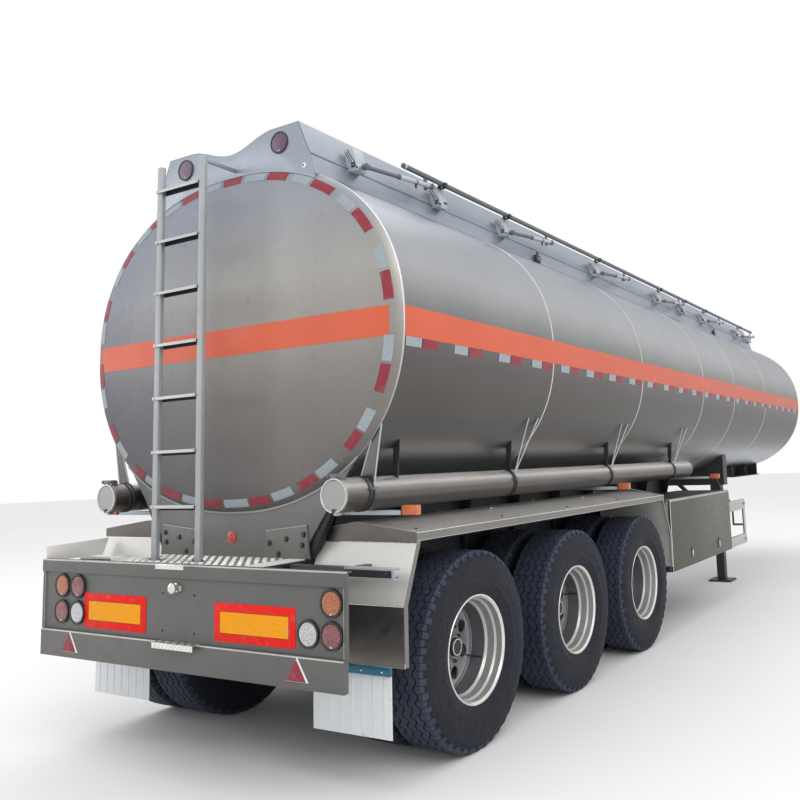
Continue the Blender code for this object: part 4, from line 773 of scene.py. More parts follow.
class TANKER_OT_tank(PieceOperator, bpy.types.Operator):
    """Shell with its heads, weld seams, rim and manhole collars"""

    bl_idname = "tanker.tank"
    bl_label = "Tank"

    def build(self, context):
        sizes = context.scene.tanker_sizes
        piece = Piece("tank_shell")
        piece.finishes = ["tank_metal", "head_metal", "weld_metal", "rim_edge"]
        merged(piece.body, self.shell(sizes.seam_rise, piece.finishes))
        for y in manhole_ys:
            self.add_collar(piece, y, sizes.manhole_bolts)
        piece.place("tank_metal", replaces=["tank"], smooth=28.0)

    def stations(self, rise):
        """Places along the tank: (y, share of the section, growth, finish of the strip that ends there)."""
        rim_end = rear_y + 0.011
        places = [(head_y(share), share, 0.0, "head_metal") for share, _ in head_profile]
        places += [(rear_y, 1.0, 0.0024, "rim_edge"), (rim_end, 1.0, 0.0024, "rim_edge"),
                   (rim_end + 0.0015, 1.0, 0.0, "rim_edge")]
        for y in seam_ys + (front_y,):
            places += [(y - 0.006, 1.0, 0.0, "tank_metal"), (y - 0.004, 1.0, rise, "weld_metal"),
                       (y + 0.004, 1.0, rise, "weld_metal"), (y + 0.006, 1.0, 0.0, "weld_metal")]
        for degrees in range(5, 90, 5):
            angle = math.radians(degrees)
            places.append((front_y + 0.006 + (front_dish - 0.006) * math.sin(angle), math.cos(angle), 0.0,
                           "head_metal"))
        return places

    def shell(self, rise, finishes):
        """Section of the tank drawn from station to station and closed at both heads."""
        first, *others = self.stations(rise)
        shell = bmesh.new()
        y, share, grow, _ = first
        wide, high = half_width * share + grow, half_height * share + grow
        ring = bmesh.ops.create_circle(shell, cap_ends=True, segments=144, radius=1.0)["verts"]
        for vert in ring:
            x, z = section(math.atan2(vert.co.y, vert.co.x), share, grow)
            vert.co = (x, y, z)
        head = finishes.index("head_metal")
        for face in shell.faces:
            face.material_index = head
        edges = shell.edges[:]
        middle = Matrix.Translation((0.0, 0.0, -centre_z))
        for y, share, grow, name in others:
            made = bmesh.ops.extrude_edge_only(shell, edges=edges)["geom"]
            verts = {item for item in made if isinstance(item, bmesh.types.BMVert)}
            edges = [edge for edge in made if isinstance(edge, bmesh.types.BMEdge)
                     and edge.verts[0] in verts and edge.verts[1] in verts]
            for face in (item for item in made if isinstance(item, bmesh.types.BMFace)):
                face.material_index = finishes.index(name)
            new_wide, new_high = half_width * share + grow, half_height * share + grow
            bmesh.ops.scale(shell, vec=(new_wide / wide, 1.0, new_high / high), space=middle,
                            verts=list(verts))
            shift = y - next(iter(verts)).co.y
            bmesh.ops.translate(shell, vec=(0.0, shift, 0.0), verts=list(verts))
            wide, high = new_wide, new_high
        for face in bmesh.ops.edgeloop_fill(shell, edges=edges)["faces"]:
            face.material_index = head
        bmesh.ops.recalc_face_normals(shell, faces=shell.faces)
        return shell

    def add_collar(self, piece, y, bolts):
        """Manhole collar with its bolts and the two ears of its lid's hinge."""
        lip, root, wall = collar_top, top_z - 0.04, 0.272
        profile = [(lip - 0.014, 0.0), (lip - 0.014, 0.176), (lip - 0.012, 0.180), (lip - 0.002, 0.180),
                   (lip, 0.182), (lip, 0.283), (lip - 0.002, 0.285), (lip - 0.014, 0.285),
                   (lip - 0.016, 0.283), (lip - 0.016, wall), (root, wall), (root, 0.0)]
        piece.add("bright_metal", lathe(profile, "z", (0.0, y, 0.0), 48))
        for number in range(bolts):
            angle = 2 * math.pi * (number + 0.5) / bolts
            spot = (0.250 * math.cos(angle), y + 0.250 * math.sin(angle), lip)
            if not (abs(spot[0]) < 0.07 and spot[1] > y):
                piece.add("nut_steel", bolt(spot, (0, 0, 1), 0.008, 0.006))
        hinge_y, hinge_z = y + 0.226, lip + seat_gap + 0.011
        for side in (-1, 1):
            low, high = sorted((side * 0.0406, side * 0.0526))
            piece.add("bright_metal", block(
                (low, hinge_y - 0.008, lip - 0.010), (high, hinge_y + 0.008, hinge_z + 0.008), 0.002))
            piece.add("nut_steel", rod(
                (side * 0.0526, hinge_y, hinge_z), (side * 0.058, hinge_y, hinge_z), 0.006, 12))


class TANKER_OT_stripes(PieceOperator, bpy.types.Operator):
    """Orange stripe on both sides and round the heads"""

    bl_idname = "tanker.stripes"
    bl_label = "Stripes"

    def build(self, context):
        thick = context.scene.tanker_sizes.tape_thickness
        low, high = stripe_z
        piece = Piece("warning_stripe")
        for side in (-1, 1):
            def on_side(u, v, side=side):
                z = low + (high - low) * v
                return Vector(
                    (side * (side_x(z) + 0.0016), rear_y + 0.014 + (front_y - rear_y - 0.014) * u, z))
            piece.add("stripe_orange", patch(12, 8, on_side, thick))

        def on_head(u, v):
            z = low + (high - low) * v
            x = 1.180 * (2 * u - 1)
            return Vector((x, head_y(head_share(x, z)) - 0.0012, z))
        piece.add("stripe_orange", patch(48, 6, on_head, thick))

        def on_front(u, v):
            z = low + (high - low) * v
            angle = math.pi * u
            x = side_x(z) * math.cos(angle)
            rest = max(0.0, 1 - head_share(x, z) ** 2)
            return Vector((x * 1.0012, front_y + front_dish * math.sqrt(rest) + 0.0014, z))
        piece.add("stripe_orange", patch(64, 6, on_front, thick))
        piece.place("tank_metal", smooth=40.0)


class TANKER_OT_blocks(PieceOperator, bpy.types.Operator):
    """Red and white reflective blocks along the sides and round the rear head"""

    bl_idname = "tanker.blocks"
    bl_label = "Reflective blocks"

    def build(self, context):
        thick = context.scene.tanker_sizes.tape_thickness
        piece = Piece("reflective_blocks")
        starts = [0.395, 0.847] + [1.338 + 0.4287 * number for number in range(22)]
        for start in starts:
            if start + 2 * block_length > front_y - 0.03:
                continue
            for offset, name in ((0.0, "sheet_white"), (block_length + 0.003, "sheet_red")):
                for side in (-1, 1):
                    def on_side(u, v, side=side, y=start + offset):
                        z = stripe_z[0] - 0.051 + 0.050 * v
                        return Vector((side * (side_x(z) + 0.0018), y + (block_length - 0.006) * u, z))
                    piece.add(name, patch(1, 3, on_side, thick))
        reds = ((108.7, 101.1), (91.8, 86.2), (76.4, 68.8), (58.3, 49.1), (37.4, 28.0), (13.0, 4.3),
                (-13.2, -22.0), (-36.2, -42.9), (-57.4, -64.3), (-75.4, -82.8), (-91.7, -97.9),
                (-107.6, -115.9), (-126.2, -132.1), (-146.5, -154.0), (-169.8, -178.0), (167.2, 159.0),
                (144.5, 137.0), (124.8, 118.0))
        for start, end in reds:
            for first, last, name in ((start, end, "sheet_red"), (start + 8.4, start + 0.9, "sheet_white")):
                def on_head(u, v, first=first, last=last):
                    angle = math.radians(first + (last - first) * u)
                    share = 0.926 + 0.046 * v
                    x, z = section(angle, share)
                    return Vector((x, head_y(share) - 0.0016, z))
                piece.add(name, patch(5, 3, on_head, thick))
        piece.place("tank_metal", smooth=40.0)


# ---- Coaming and handrail ----

def wave_line():
    """Top edge of the coaming's rear plate, from right to left."""
    half = [(peak_x, peak_z), (shoulder_x, shoulder_z)]
    for number in range(1, 17):
        share = number / 16
        blend = (1 - math.cos(math.pi * share)) / 2
        half.append((shoulder_x * (1 - share), shoulder_z + (dip_z - shoulder_z) * blend))
    return half + [(-x, z) for x, z in reversed(half[:-1])]


def top_outline(start_x, end_x, steps=24):
    """Points along the tank's top from one x to another."""
    xs = [start_x + (end_x - start_x) * number / steps for number in range(steps + 1)]
    return [(x, roof_z(x)) for x in xs]


def round_lamp(piece, x, z, face_y, lens, radius=0.068, proud=0.0138, inner=0.80):
    """Rubber bezel with a domed lens set in it and a small notch below."""
    out = face_y - proud
    middle = (1 + inner) / 2
    bezel = [
        (face_y + 0.002, 0.030), (face_y + 0.002, radius), (face_y - 0.006, radius),
        (out + 0.001, radius * 0.985), (out, radius * (middle + 0.03)),
        (out + 0.0005, radius * (middle - 0.03)), (out + 0.0045, radius * inner), (out + 0.006, 0.030)]
    piece.add("black_plastic", lathe(bezel, "y", (x, 0.0, z), 36, loop=True))
    glass = [(out + 0.009, 0.0), (out + 0.009, radius * (inner + 0.01)), (out + 0.0035, radius * inner),
             (out + 0.0015, radius * 0.60), (out + 0.0008, radius * 0.3), (out + 0.0006, 0.0)]
    piece.add(lens, lathe(glass, "y", (x, 0.0, z), 32))
    notch = slab([(x - 0.010, z - radius * 0.78), (x + 0.010, z - radius * 0.78), (x, z - radius * 0.62)],
                 "y", out + 0.0008, out + 0.006, 0.001)
    piece.add("lens_clear", notch)


class TANKER_OT_coaming(PieceOperator, bpy.types.Operator):
    """Tray round the tank's top with its lips, lamps, rail brackets and clips"""

    bl_idname = "tanker.coaming"
    bl_label = "Coaming"

    def build(self, context):
        piece = Piece("coaming_tray")
        self.add_boards(piece)
        self.add_plates(piece)
        self.add_fittings(piece)
        piece.place("tank_metal", replaces=["coaming"], smooth=30.0)

    def add_boards(self, piece):
        """Folded side boards with their lip, groove, seam and foot line."""
        foot_z, sheet = roof_z(foot_x), coaming_sheet
        board = [
            (foot_x, foot_z), (fold_x, fold_z), (peak_x, peak_z - 0.001), (peak_x - sheet, peak_z - 0.001),
            (fold_x - sheet, fold_z), (foot_x - sheet, roof_z(foot_x - sheet))]
        lip = [(peak_x + 0.0005, peak_z - 0.014), (peak_x + 0.0005, peak_z - 0.001), (peak_x - 0.002, peak_z),
               (peak_x - 0.024, peak_z), (peak_x - 0.024, peak_z - 0.003), (peak_x - 0.004, peak_z - 0.004)]
        groove = [(peak_x + 0.0065, peak_z - 0.016), (peak_x + 0.0068, peak_z - 0.0215),
                  (peak_x + 0.0020, peak_z - 0.0205), (peak_x + 0.0020, peak_z - 0.0155)]
        seam = [(fold_x + 0.0015, fold_z + 0.001), (fold_x + 0.001, fold_z + 0.007),
                (fold_x - 0.003, fold_z + 0.007), (fold_x - 0.003, fold_z - 0.005),
                (fold_x + 0.003, fold_z - 0.006)]
        foot = [(foot_x + 0.008, foot_z - 0.005), (foot_x + 0.006, foot_z + 0.001),
                (foot_x - 0.002, foot_z + 0.007), (foot_x - 0.006, foot_z - 0.001)]
        for name, outline, rear, front in (
                ("coaming_metal", board, coaming_rear, coaming_front),
                ("bright_metal", lip, coaming_rear + 0.002, coaming_front - 0.002),
                ("coaming_metal", groove, coaming_rear + 0.010, coaming_front - 0.010),
                ("coaming_metal", seam, coaming_rear, coaming_front),
                ("dull_metal", foot, rear_y + 0.002, coaming_front)):
            piece.add_both(name, slab(outline, "y", rear, front))
        shadow = (fold_x + 0.0030, fold_z - 0.0050)
        piece.add_both("dull_metal", rod(
            (shadow[0], coaming_rear, shadow[1]), (shadow[0], coaming_front, shadow[1]), 0.0016, 8))

    def add_plates(self, piece):
        """Waved rear plate with its hem and edges, level front plate and ribs on the side boards."""
        foot_z, sheet = roof_z(foot_x), coaming_sheet
        wave = wave_line()
        outline = top_outline(-foot_x, foot_x)
        share, hem = 0.978, []
        for x, _ in outline:
            rise = (1 - abs(x / (half_width * share)) ** squareness) ** (1 / squareness)
            hem.append((x, centre_z + half_height * share * rise))
        plate = hem + [(foot_x, foot_z), (fold_x, fold_z)] + wave + [(-fold_x, fold_z), (-foot_x, foot_z)]
        piece.add("coaming_metal", slab(plate, "y", coaming_rear, coaming_rear + sheet, 0.0008))
        # Light bead along the hem: a painted highlight on the plate's lower edge.
        piece.add("bracket_grey", pipe(
            [(x, coaming_rear - 0.0005, z) for x, z in hem], 0.0020, 8, smooth=False))
        level = outline + [(fold_x, fold_z), (peak_x, peak_z), (-peak_x, peak_z), (-fold_x, fold_z)]
        piece.add("coaming_metal", slab(level, "y", coaming_front - sheet, coaming_front, 0.0008))
        edge = wave + [(x, z - 0.005) for x, z in reversed(wave)]
        piece.add("bright_metal", slab(edge, "y", coaming_rear - 0.0012, coaming_rear + 0.020))
        for side in (-1, 1):
            corner = [(side * (foot_x - 0.0005), foot_z), (side * (fold_x - 0.0005), fold_z),
                      (side * (fold_x - 0.008), fold_z), (side * (foot_x - 0.008), foot_z + 0.004)]
            piece.add("coaming_metal", slab(corner, "y", coaming_rear - 0.0012, coaming_rear + 0.002))
        for number in range(5):
            y = coaming_rear + 1.2 + number * 1.9
            rib = [(fold_x - 0.004, fold_z), (peak_x - 0.005, peak_z - 0.004), (peak_x - 0.03, peak_z - 0.02),
                   (fold_x - 0.05, fold_z + 0.02)]
            piece.add_both("coaming_metal", slab(rib, "y", y, y + 0.006, 0.001))

    def add_fittings(self, piece):
        """Rear lamps, fitting on the rear plate, rail brackets and clips, and the small boxes on the side."""
        for side in (-1, 1):
            round_lamp(piece, side * 0.400, 3.4570, coaming_rear, "lens_purple", 0.066, 0.0080, 0.89)
        fitting = [(coaming_rear + 0.001, 0.0), (coaming_rear + 0.001, 0.015), (coaming_rear - 0.006, 0.014),
                   (coaming_rear - 0.008, 0.010), (coaming_rear - 0.008, 0.0)]
        piece.add("enamel_white", lathe(fitting, "y", (0.591, 0.0, 3.2800), 20))
        piece.add("hole_dark", rod(
            (0.591, coaming_rear - 0.004, 3.280), (0.591, coaming_rear - 0.0095, 3.280), 0.006, 14))
        for number, y in enumerate(post_ys):
            self.add_bracket(piece, y, with_clip=number > 0)
        for y in (1.573, 6.850):
            self.add_bracket(piece, y - 0.020, with_clip=False, with_pin=False)
            self.add_clip(piece, y, 3.4680)
        for y, z in ((2.985, 3.290), (8.160, 3.285)):
            piece.add("black_plastic", block(
                (foot_x - 0.006, y - 0.045, z - 0.066), (foot_x + 0.018, y + 0.045, z - 0.008), 0.004))
            piece.add("nut_steel", block(
                (foot_x + 0.002, y - 0.020, z - 0.012), (foot_x + 0.014, y + 0.020, z + 0.022), 0.003))
            piece.add("worn_edge", rod(
                (foot_x + 0.016, y, z - 0.036), (foot_x + 0.026, y, z - 0.036), 0.010, 16, bevel=0.002))
        piece.add("bracket_grey", block(
            (fold_x - 0.020, coaming_front - 0.240, fold_z - 0.010),
            (fold_x + 0.045, coaming_front - 0.040, fold_z + 0.075), 0.004))
        piece.add("bright_metal", block(
            (fold_x - 0.022, coaming_front - 0.242, fold_z + 0.073),
            (fold_x + 0.047, coaming_front - 0.038, fold_z + 0.077), 0.001))

    def add_bracket(self, piece, y, with_clip, with_pin=True):
        """Box on the coaming's side with a toggle latch on its rear face; most carry a post's pin."""
        inner = fold_x - 0.010
        outline = [(inner, fold_z - 0.020), (rail_x, post_foot_z - 0.020), (rail_x, post_foot_z + 0.040),
                   (rail_x - 0.030, top_z + 0.125), (inner - 0.020, top_z + 0.125)]
        rear, front = y - 0.025, y + 0.065
        piece.add("bracket_grey", slab(outline, "y", rear, front, 0.004))
        piece.add("bright_metal", block(
            (inner - 0.018, rear + 0.004, top_z + 0.1235), (rail_x - 0.034, front - 0.004, top_z + 0.1265),
            0.001))
        if with_pin:
            piece.add("rail_grey", rod(
                (rail_x - 0.010, y, post_foot_z), (pin_end, y, post_foot_z), 0.008, 16, bevel=0.001))
            piece.add("rail_grey", rod((0.763, y, post_foot_z), (0.7658, y, post_foot_z), 0.013, 12))
            piece.add("bracket_grey", rod(
                (rail_x - 0.001, y, post_foot_z), (rail_x + 0.020, y, post_foot_z), 0.019, 20, bevel=0.002))
        for dy in (0.034, 0.054):
            piece.add("nut_steel", bolt((rail_x, y + dy, post_foot_z + 0.022), (1, 0, 0), 0.006, 0.006))
        start, end = Vector((inner - 0.002, 0.0, top_z + 0.112)), Vector(
            (rail_x - 0.022, 0.0, post_foot_z + 0.030))
        way = (end - start).normalized()
        across = Vector((-way.z, 0.0, way.x))
        for name, half, reach, proud in (("black_plastic", 0.0115, 0.004, 0.0030), ("bright_metal", 0.0075,
                                                                                    0.0, 0.0065),
                                         ("black_plastic", 0.0032, -0.014, 0.0072)):
            near, far = start - way * reach, end + way * reach
            corners = [near + across * half, far + across * half, far - across * half, near - across * half]
            piece.add(name, slab(
                [(corner.x, corner.z) for corner in corners], "y", rear - proud, rear + 0.001, 0.0012))
        piece.add("black_plastic", block(
            (end.x - 0.013, rear - 0.010, end.z - 0.024), (end.x + 0.013, rear + 0.001, end.z + 0.004),
            0.003))
        for dx in (-0.006, 0.007):
            piece.add("bright_metal", rod(
                (end.x + dx, rear - 0.013, end.z - 0.014), (end.x + dx, rear - 0.009, end.z - 0.014), 0.0032,
                10, bevel=0.0008))
        piece.add("bright_metal", rod(
            (start.x + 0.004, rear - 0.010, start.z - 0.006), (start.x + 0.004, rear, start.z - 0.006), 0.005,
            12, bevel=0.001))
        piece.add("bright_metal", block(
            (rail_x - 0.006, rear - 0.004, post_foot_z - 0.019),
            (rail_x + 0.020, rear + 0.003, post_foot_z + 0.016), 0.002))
        piece.add("hole_dark", rod(
            (rail_x + 0.007, rear - 0.0046, post_foot_z - 0.002),
            (rail_x + 0.007, rear - 0.003, post_foot_z - 0.002), 0.007, 14))
        if with_clip:
            self.add_clip(piece, y + 0.020, top_z + 0.1235)

    def add_clip(self, piece, y, low):
        """Clip under the long rail, open above, with its locking pin standing inside the rail."""
        high, half, pin_x = rail_z + 0.0075, 0.0232, rail_x - 0.0310
        shape = [(rail_x - 0.034, low - 0.004), (rail_x + 0.0285, low - 0.004), (rail_x + 0.0285, high),
                 (rail_x + half, high), (rail_x + half, low + 0.0005), (rail_x - half, low + 0.0005),
                 (rail_x - half, high), (rail_x - 0.034, high - 0.006)]
        piece.add("black_plastic", slab(shape, "y", y - 0.016, y + 0.016, 0.001))
        piece.add("nut_steel", rod(
            (pin_x, y, low - 0.002), (pin_x, y, high + 0.034), 0.0045, 12, bevel=0.001))
        piece.add("bright_metal", rod(
            (pin_x, y, high + 0.024), (pin_x, y, high + 0.037), 0.0065, 12, bevel=0.0015))


class TANKER_OT_handrail(PieceOperator, bpy.types.Operator):
    """Folding rail with its lugs and end caps, and its six posts"""

    bl_idname = "tanker.handrail"
    bl_label = "Handrail"

    def build(self, context):
        self.build_rail()
        for number, y in enumerate(post_ys, 1):
            self.build_post(number, y)

    def build_rail(self):
        """Long rail with a lug, a pin and two rings at each post."""
        rail = Piece("long_rail")
        start, end = 1.120, post_ys[-1] + post_reach + 0.085
        rail.add("rail_grey", rod((rail_x, start + 0.004, rail_z), (rail_x, end - 0.004, rail_z), 0.0175, 24))
        for low, high in ((start, start + 0.035), (end - 0.035, end)):
            rail.add("rail_grey", rod((rail_x, low, rail_z), (rail_x, high, rail_z), 0.018, 24, bevel=0.003))
        rail.add("bright_metal", rod(
            (rail_x, start + 0.012, rail_z), (rail_x, start + 0.026, rail_z), 0.0186, 24, bevel=0.001))
        for y in [tip + post_reach for tip in post_ys]:
            lug = [
                (y - 0.016, post_tip_z - 0.012), (y - 0.012, post_tip_z - 0.016),
                (y + 0.012, post_tip_z - 0.016), (y + 0.016, post_tip_z - 0.012), (y + 0.016, rail_z),
                (y - 0.016, rail_z)]
            rail.add("rail_grey", slab(lug, "x", rail_x - 0.005, rail_x + 0.005, 0.001))
            rail.add("rail_grey", rod(
                (rail_x, y, post_tip_z), (pin_end, y, post_tip_z), 0.008, 16, bevel=0.001))
            rail.add("rail_grey", rod((0.763, y, post_tip_z), (0.7658, y, post_tip_z), 0.0125, 12))
            for ring_y in (y - 0.024, y + 0.016):
                rail.add("rail_grey", rod(
                    (rail_x, ring_y, rail_z), (rail_x, ring_y + 0.008, rail_z), 0.0185, 24, bevel=0.001))
        rail.place("rail_grey", "handrail", ["handrail"])

    def build_post(self, number, y):
        """Post from its pin on the bracket to its pin on the rail, with eyes, collars, sleeve and latch."""
        post = Piece(f"folding_post_{number}")
        foot = Vector((post_x, y, post_foot_z))
        tip = Vector((post_x, y + post_reach, post_tip_z))
        way = (tip - foot).normalized()
        post.add("rail_grey", rod(foot + way * 0.019, tip - way * 0.019, 0.0138, 20))
        for end_point, inward in ((foot, way), (tip, -way)):
            eye = [(-0.012, 0.0089), (-0.012, 0.0195), (-0.010, 0.021), (0.010, 0.021), (0.012, 0.0195),
                   (0.012, 0.0089)]
            post.add("rail_grey", lathe(eye, "x", end_point, 24, loop=True))
            post.add("rail_grey", rod(
                end_point + inward * 0.020, end_point + inward * 0.034, 0.0165, 20, bevel=0.002))
        post.add("bracket_grey", rod(foot + way * 0.330, tip - way * 0.034, 0.0153, 20, bevel=0.001))
        for collar in (0.314, 0.495):
            post.add("rail_grey", rod(
                foot + way * collar, foot + way * (collar + 0.016), 0.0175, 20, bevel=0.002))
        latch = foot + way * 0.503
        post.add("nut_steel", block(
            latch + Vector((-0.006, -0.008, -0.040)), latch + Vector((0.006, 0.008, -0.010)), 0.003))
        name = f"handrail_post_{number}"
        post.place("rail_grey", name, [name])


class TANKER_OT_walkway(PieceOperator, bpy.types.Operator):
    """Treads beside the manholes with raised bars"""

    bl_idname = "tanker.walkway"
    bl_label = "Walkway"

    def build(self, context):
        piece = Piece("walkway_treads")
        inner, outer, high = 0.320, 0.500, 3.3650
        for side in (-1, 1):
            outline = [(outer, high - 0.001), (outer, roof_z(outer)),
                       (outer - 0.005, roof_z(outer - 0.005)),
                       (outer - 0.005, high - 0.005), (inner + 0.005, high - 0.005),
                       (inner + 0.005, roof_z(inner + 0.005)),
                       (inner, roof_z(inner)), (inner, high - 0.001)]
            shape = slab(outline, "y", rear_y + 0.030, coaming_front - 0.030, 0.0008)
            piece.add("bright_metal", flipped(shape) if side < 0 else shape)
            for number in range(196):
                y = rear_y + 0.055 + number * 0.0502
                for column in range(4):
                    x = side * (inner + 0.026 + column * 0.0425)
                    tilt = 45 if (number + column) % 2 else -45
                    piece.add("bright_metal", tread_bar(x, y, high - 0.0015, tilt))
        for near, far in zip(manhole_ys, manhole_ys[1:]):
            middle = (near + far) / 2
            piece.add("bright_metal", block(
                (-0.322, middle - 0.030, top_z + 0.0006), (0.322, middle + 0.030, high - 0.001), 0.001))
        piece.place("bright_metal", replaces=["walkway"])


def tread_bar(x, y, z, tilt, length=0.026, width=0.006, rise=0.0015):
    """Small raised bar of a patterned sheet."""
    shape = bmesh.new()
    bmesh.ops.create_grid(shape, x_segments=1, y_segments=1, size=0.5)
    bmesh.ops.scale(shape, vec=(length, width, 1.0), verts=shape.verts)
    swept = bmesh.ops.extrude_face_region(shape, geom=shape.faces[:])
    upper = [item for item in swept["geom"] if isinstance(item, bmesh.types.BMVert)]
    bmesh.ops.translate(shape, vec=(0.0, 0.0, rise), verts=upper)
    bmesh.ops.scale(shape, vec=(0.7, 0.5, 1.0), verts=upper)
    bmesh.ops.recalc_face_normals(shape, faces=shape.faces)
    turn = Matrix.Rotation(math.radians(tilt), 4, "Z")
    return moved(shape, Matrix.Translation((x, y, z)) @ turn)


def add_pattern(piece, corner, columns, rows, pitch, rise):
    """Raised bars that lean one way and the other by turns, from the corner of a patterned sheet."""
    x, y, z = corner
    for row in range(rows):
        for column in range(columns):
            tilt = 62 if (row + column) % 2 else -28
            piece.add("bright_metal", tread_bar(
                x + column * pitch[0], y + row * pitch[1], z, tilt, 0.027, 0.008, rise))


class TANKER_OT_lids(PieceOperator, bpy.types.Operator):
    """Domed fill lids with their clamp bars, knobs and vents"""

    bl_idname = "tanker.lids"
    bl_label = "Manhole lids"

    def build(self, context):
        low = collar_top + seat_gap
        for number, y in enumerate(manhole_ys, 1):
            piece = Piece(f"fill_lid_{number}")
            profile = [
                (low, 0.0), (low, 0.212), (low + 0.002, 0.215), (low + 0.014, 0.215), (low + 0.016, 0.213),
                (low + 0.017, 0.200), (low + 0.022, 0.185), (low + 0.031, 0.150), (low + 0.034, 0.100),
                (low + 0.034, 0.0)]
            piece.add("bright_metal", lathe(profile, "z", (0.0, y, 0.0), 56))
            piece.add("sheet_metal", block(
                (-0.024, y - 0.190, low + 0.010), (0.024, y + 0.222, low + 0.046), 0.004))
            hinge = (y + 0.226, low + 0.011)
            piece.add("sheet_metal", rod((-0.040, *hinge), (0.040, *hinge), 0.011, 20, bevel=0.0015))
            piece.add("nut_steel", lathe(
                [(low + 0.030, 0.0), (low + 0.030, 0.022), (low + 0.058, 0.020), (low + 0.064, 0.014),
                    (low + 0.064, 0.0)], "z", (0.0, y - 0.160, 0.0), 20))
            piece.add("nut_steel", rod(
                (-0.045, y - 0.160, low + 0.058), (0.045, y - 0.160, low + 0.058), 0.006, 12, bevel=0.001))
            for side in (-1, 1):
                vent = [(low + 0.024, 0.0), (low + 0.024, 0.036), (low + 0.046, 0.036), (low + 0.052, 0.030),
                        (low + 0.052, 0.0)]
                piece.add("sheet_metal", lathe(vent, "z", (side * 0.105, y + 0.020, 0.0), 28))
                piece.add("nut_steel", bolt((side * 0.105, y + 0.020, low + 0.052), (0, 0, 1), 0.010, 0.008))
            name = f"manhole_lid_{number}"
            piece.place("bright_metal", name, [name])


# ---- Ladder ----

class TANKER_OT_ladder(PieceOperator, bpy.types.Operator):
    """Stiles, channel rungs with their bolts, foot plates and the arm to the coaming"""

    bl_idname = "tanker.ladder"
    bl_label = "Ladder"

    def build(self, context):
        piece = Piece("rear_ladder")
        foot_z, middle = deck_top + seat_gap, 0.106
        left_x, right_x, high = ladder_left_x, ladder_right_x, ladder_top
        for x in (right_x, left_x):
            piece.add("ladder_grey", block(
                (x - 0.016, middle - 0.015, foot_z), (x + 0.024, middle + 0.015, high), 0.005, 3))
            piece.add("ladder_grey", block(
                (x - 0.048, middle - 0.034, foot_z), (x + 0.048, middle + 0.034, foot_z + 0.006), 0.0015))
            for dx in (-0.038, 0.038):
                piece.add("nut_steel", bolt((x + dx, middle, foot_z + 0.006), (0, 0, 1), 0.006, 0.005))
        channel = [
            (-0.022, -0.018), (-0.022, -0.002), (-0.020, 0.0), (0.020, 0.0), (0.022, -0.002), (0.022, -0.030),
            (0.0185, -0.030), (0.0185, -0.0035), (-0.0185, -0.0035), (-0.0185, -0.018)]
        for number in range(1, 8):
            z = foot_z + rung_pitch * number
            outline = [(middle + y, z + up) for y, up in channel]
            piece.add("rung_light", slab(outline, "x", left_x - 0.020, right_x - 0.0145, 0.0006, 1))
            # Dark sheet inside each rung's channel: painted shade.
            lining = [
                (-0.0184, -0.0036), (-0.0184, -0.0050), (0.0170, -0.0050), (0.0170, -0.0300),
                (0.0184, -0.0300), (0.0184, -0.0036)]
            shade = [(middle + y, z + up) for y, up in lining]
            piece.add("hole_dark", slab(shade, "x", left_x + 0.025, right_x - 0.0165))
            for x in (left_x, right_x - 0.026):
                piece.add("rung_light", bolt((x, middle - 0.022, z - 0.010), (0, -1, 0), 0.005, 0.003))
        piece.add("coaming_metal", block(
            (right_x - 0.005, middle, high - 0.034), (right_x + 0.005, coaming_rear - seat_gap, high - 0.010),
            0.002))
        piece.place("ladder_grey", replaces=["ladder"], smooth=30.0)


# ---- Rear end ----

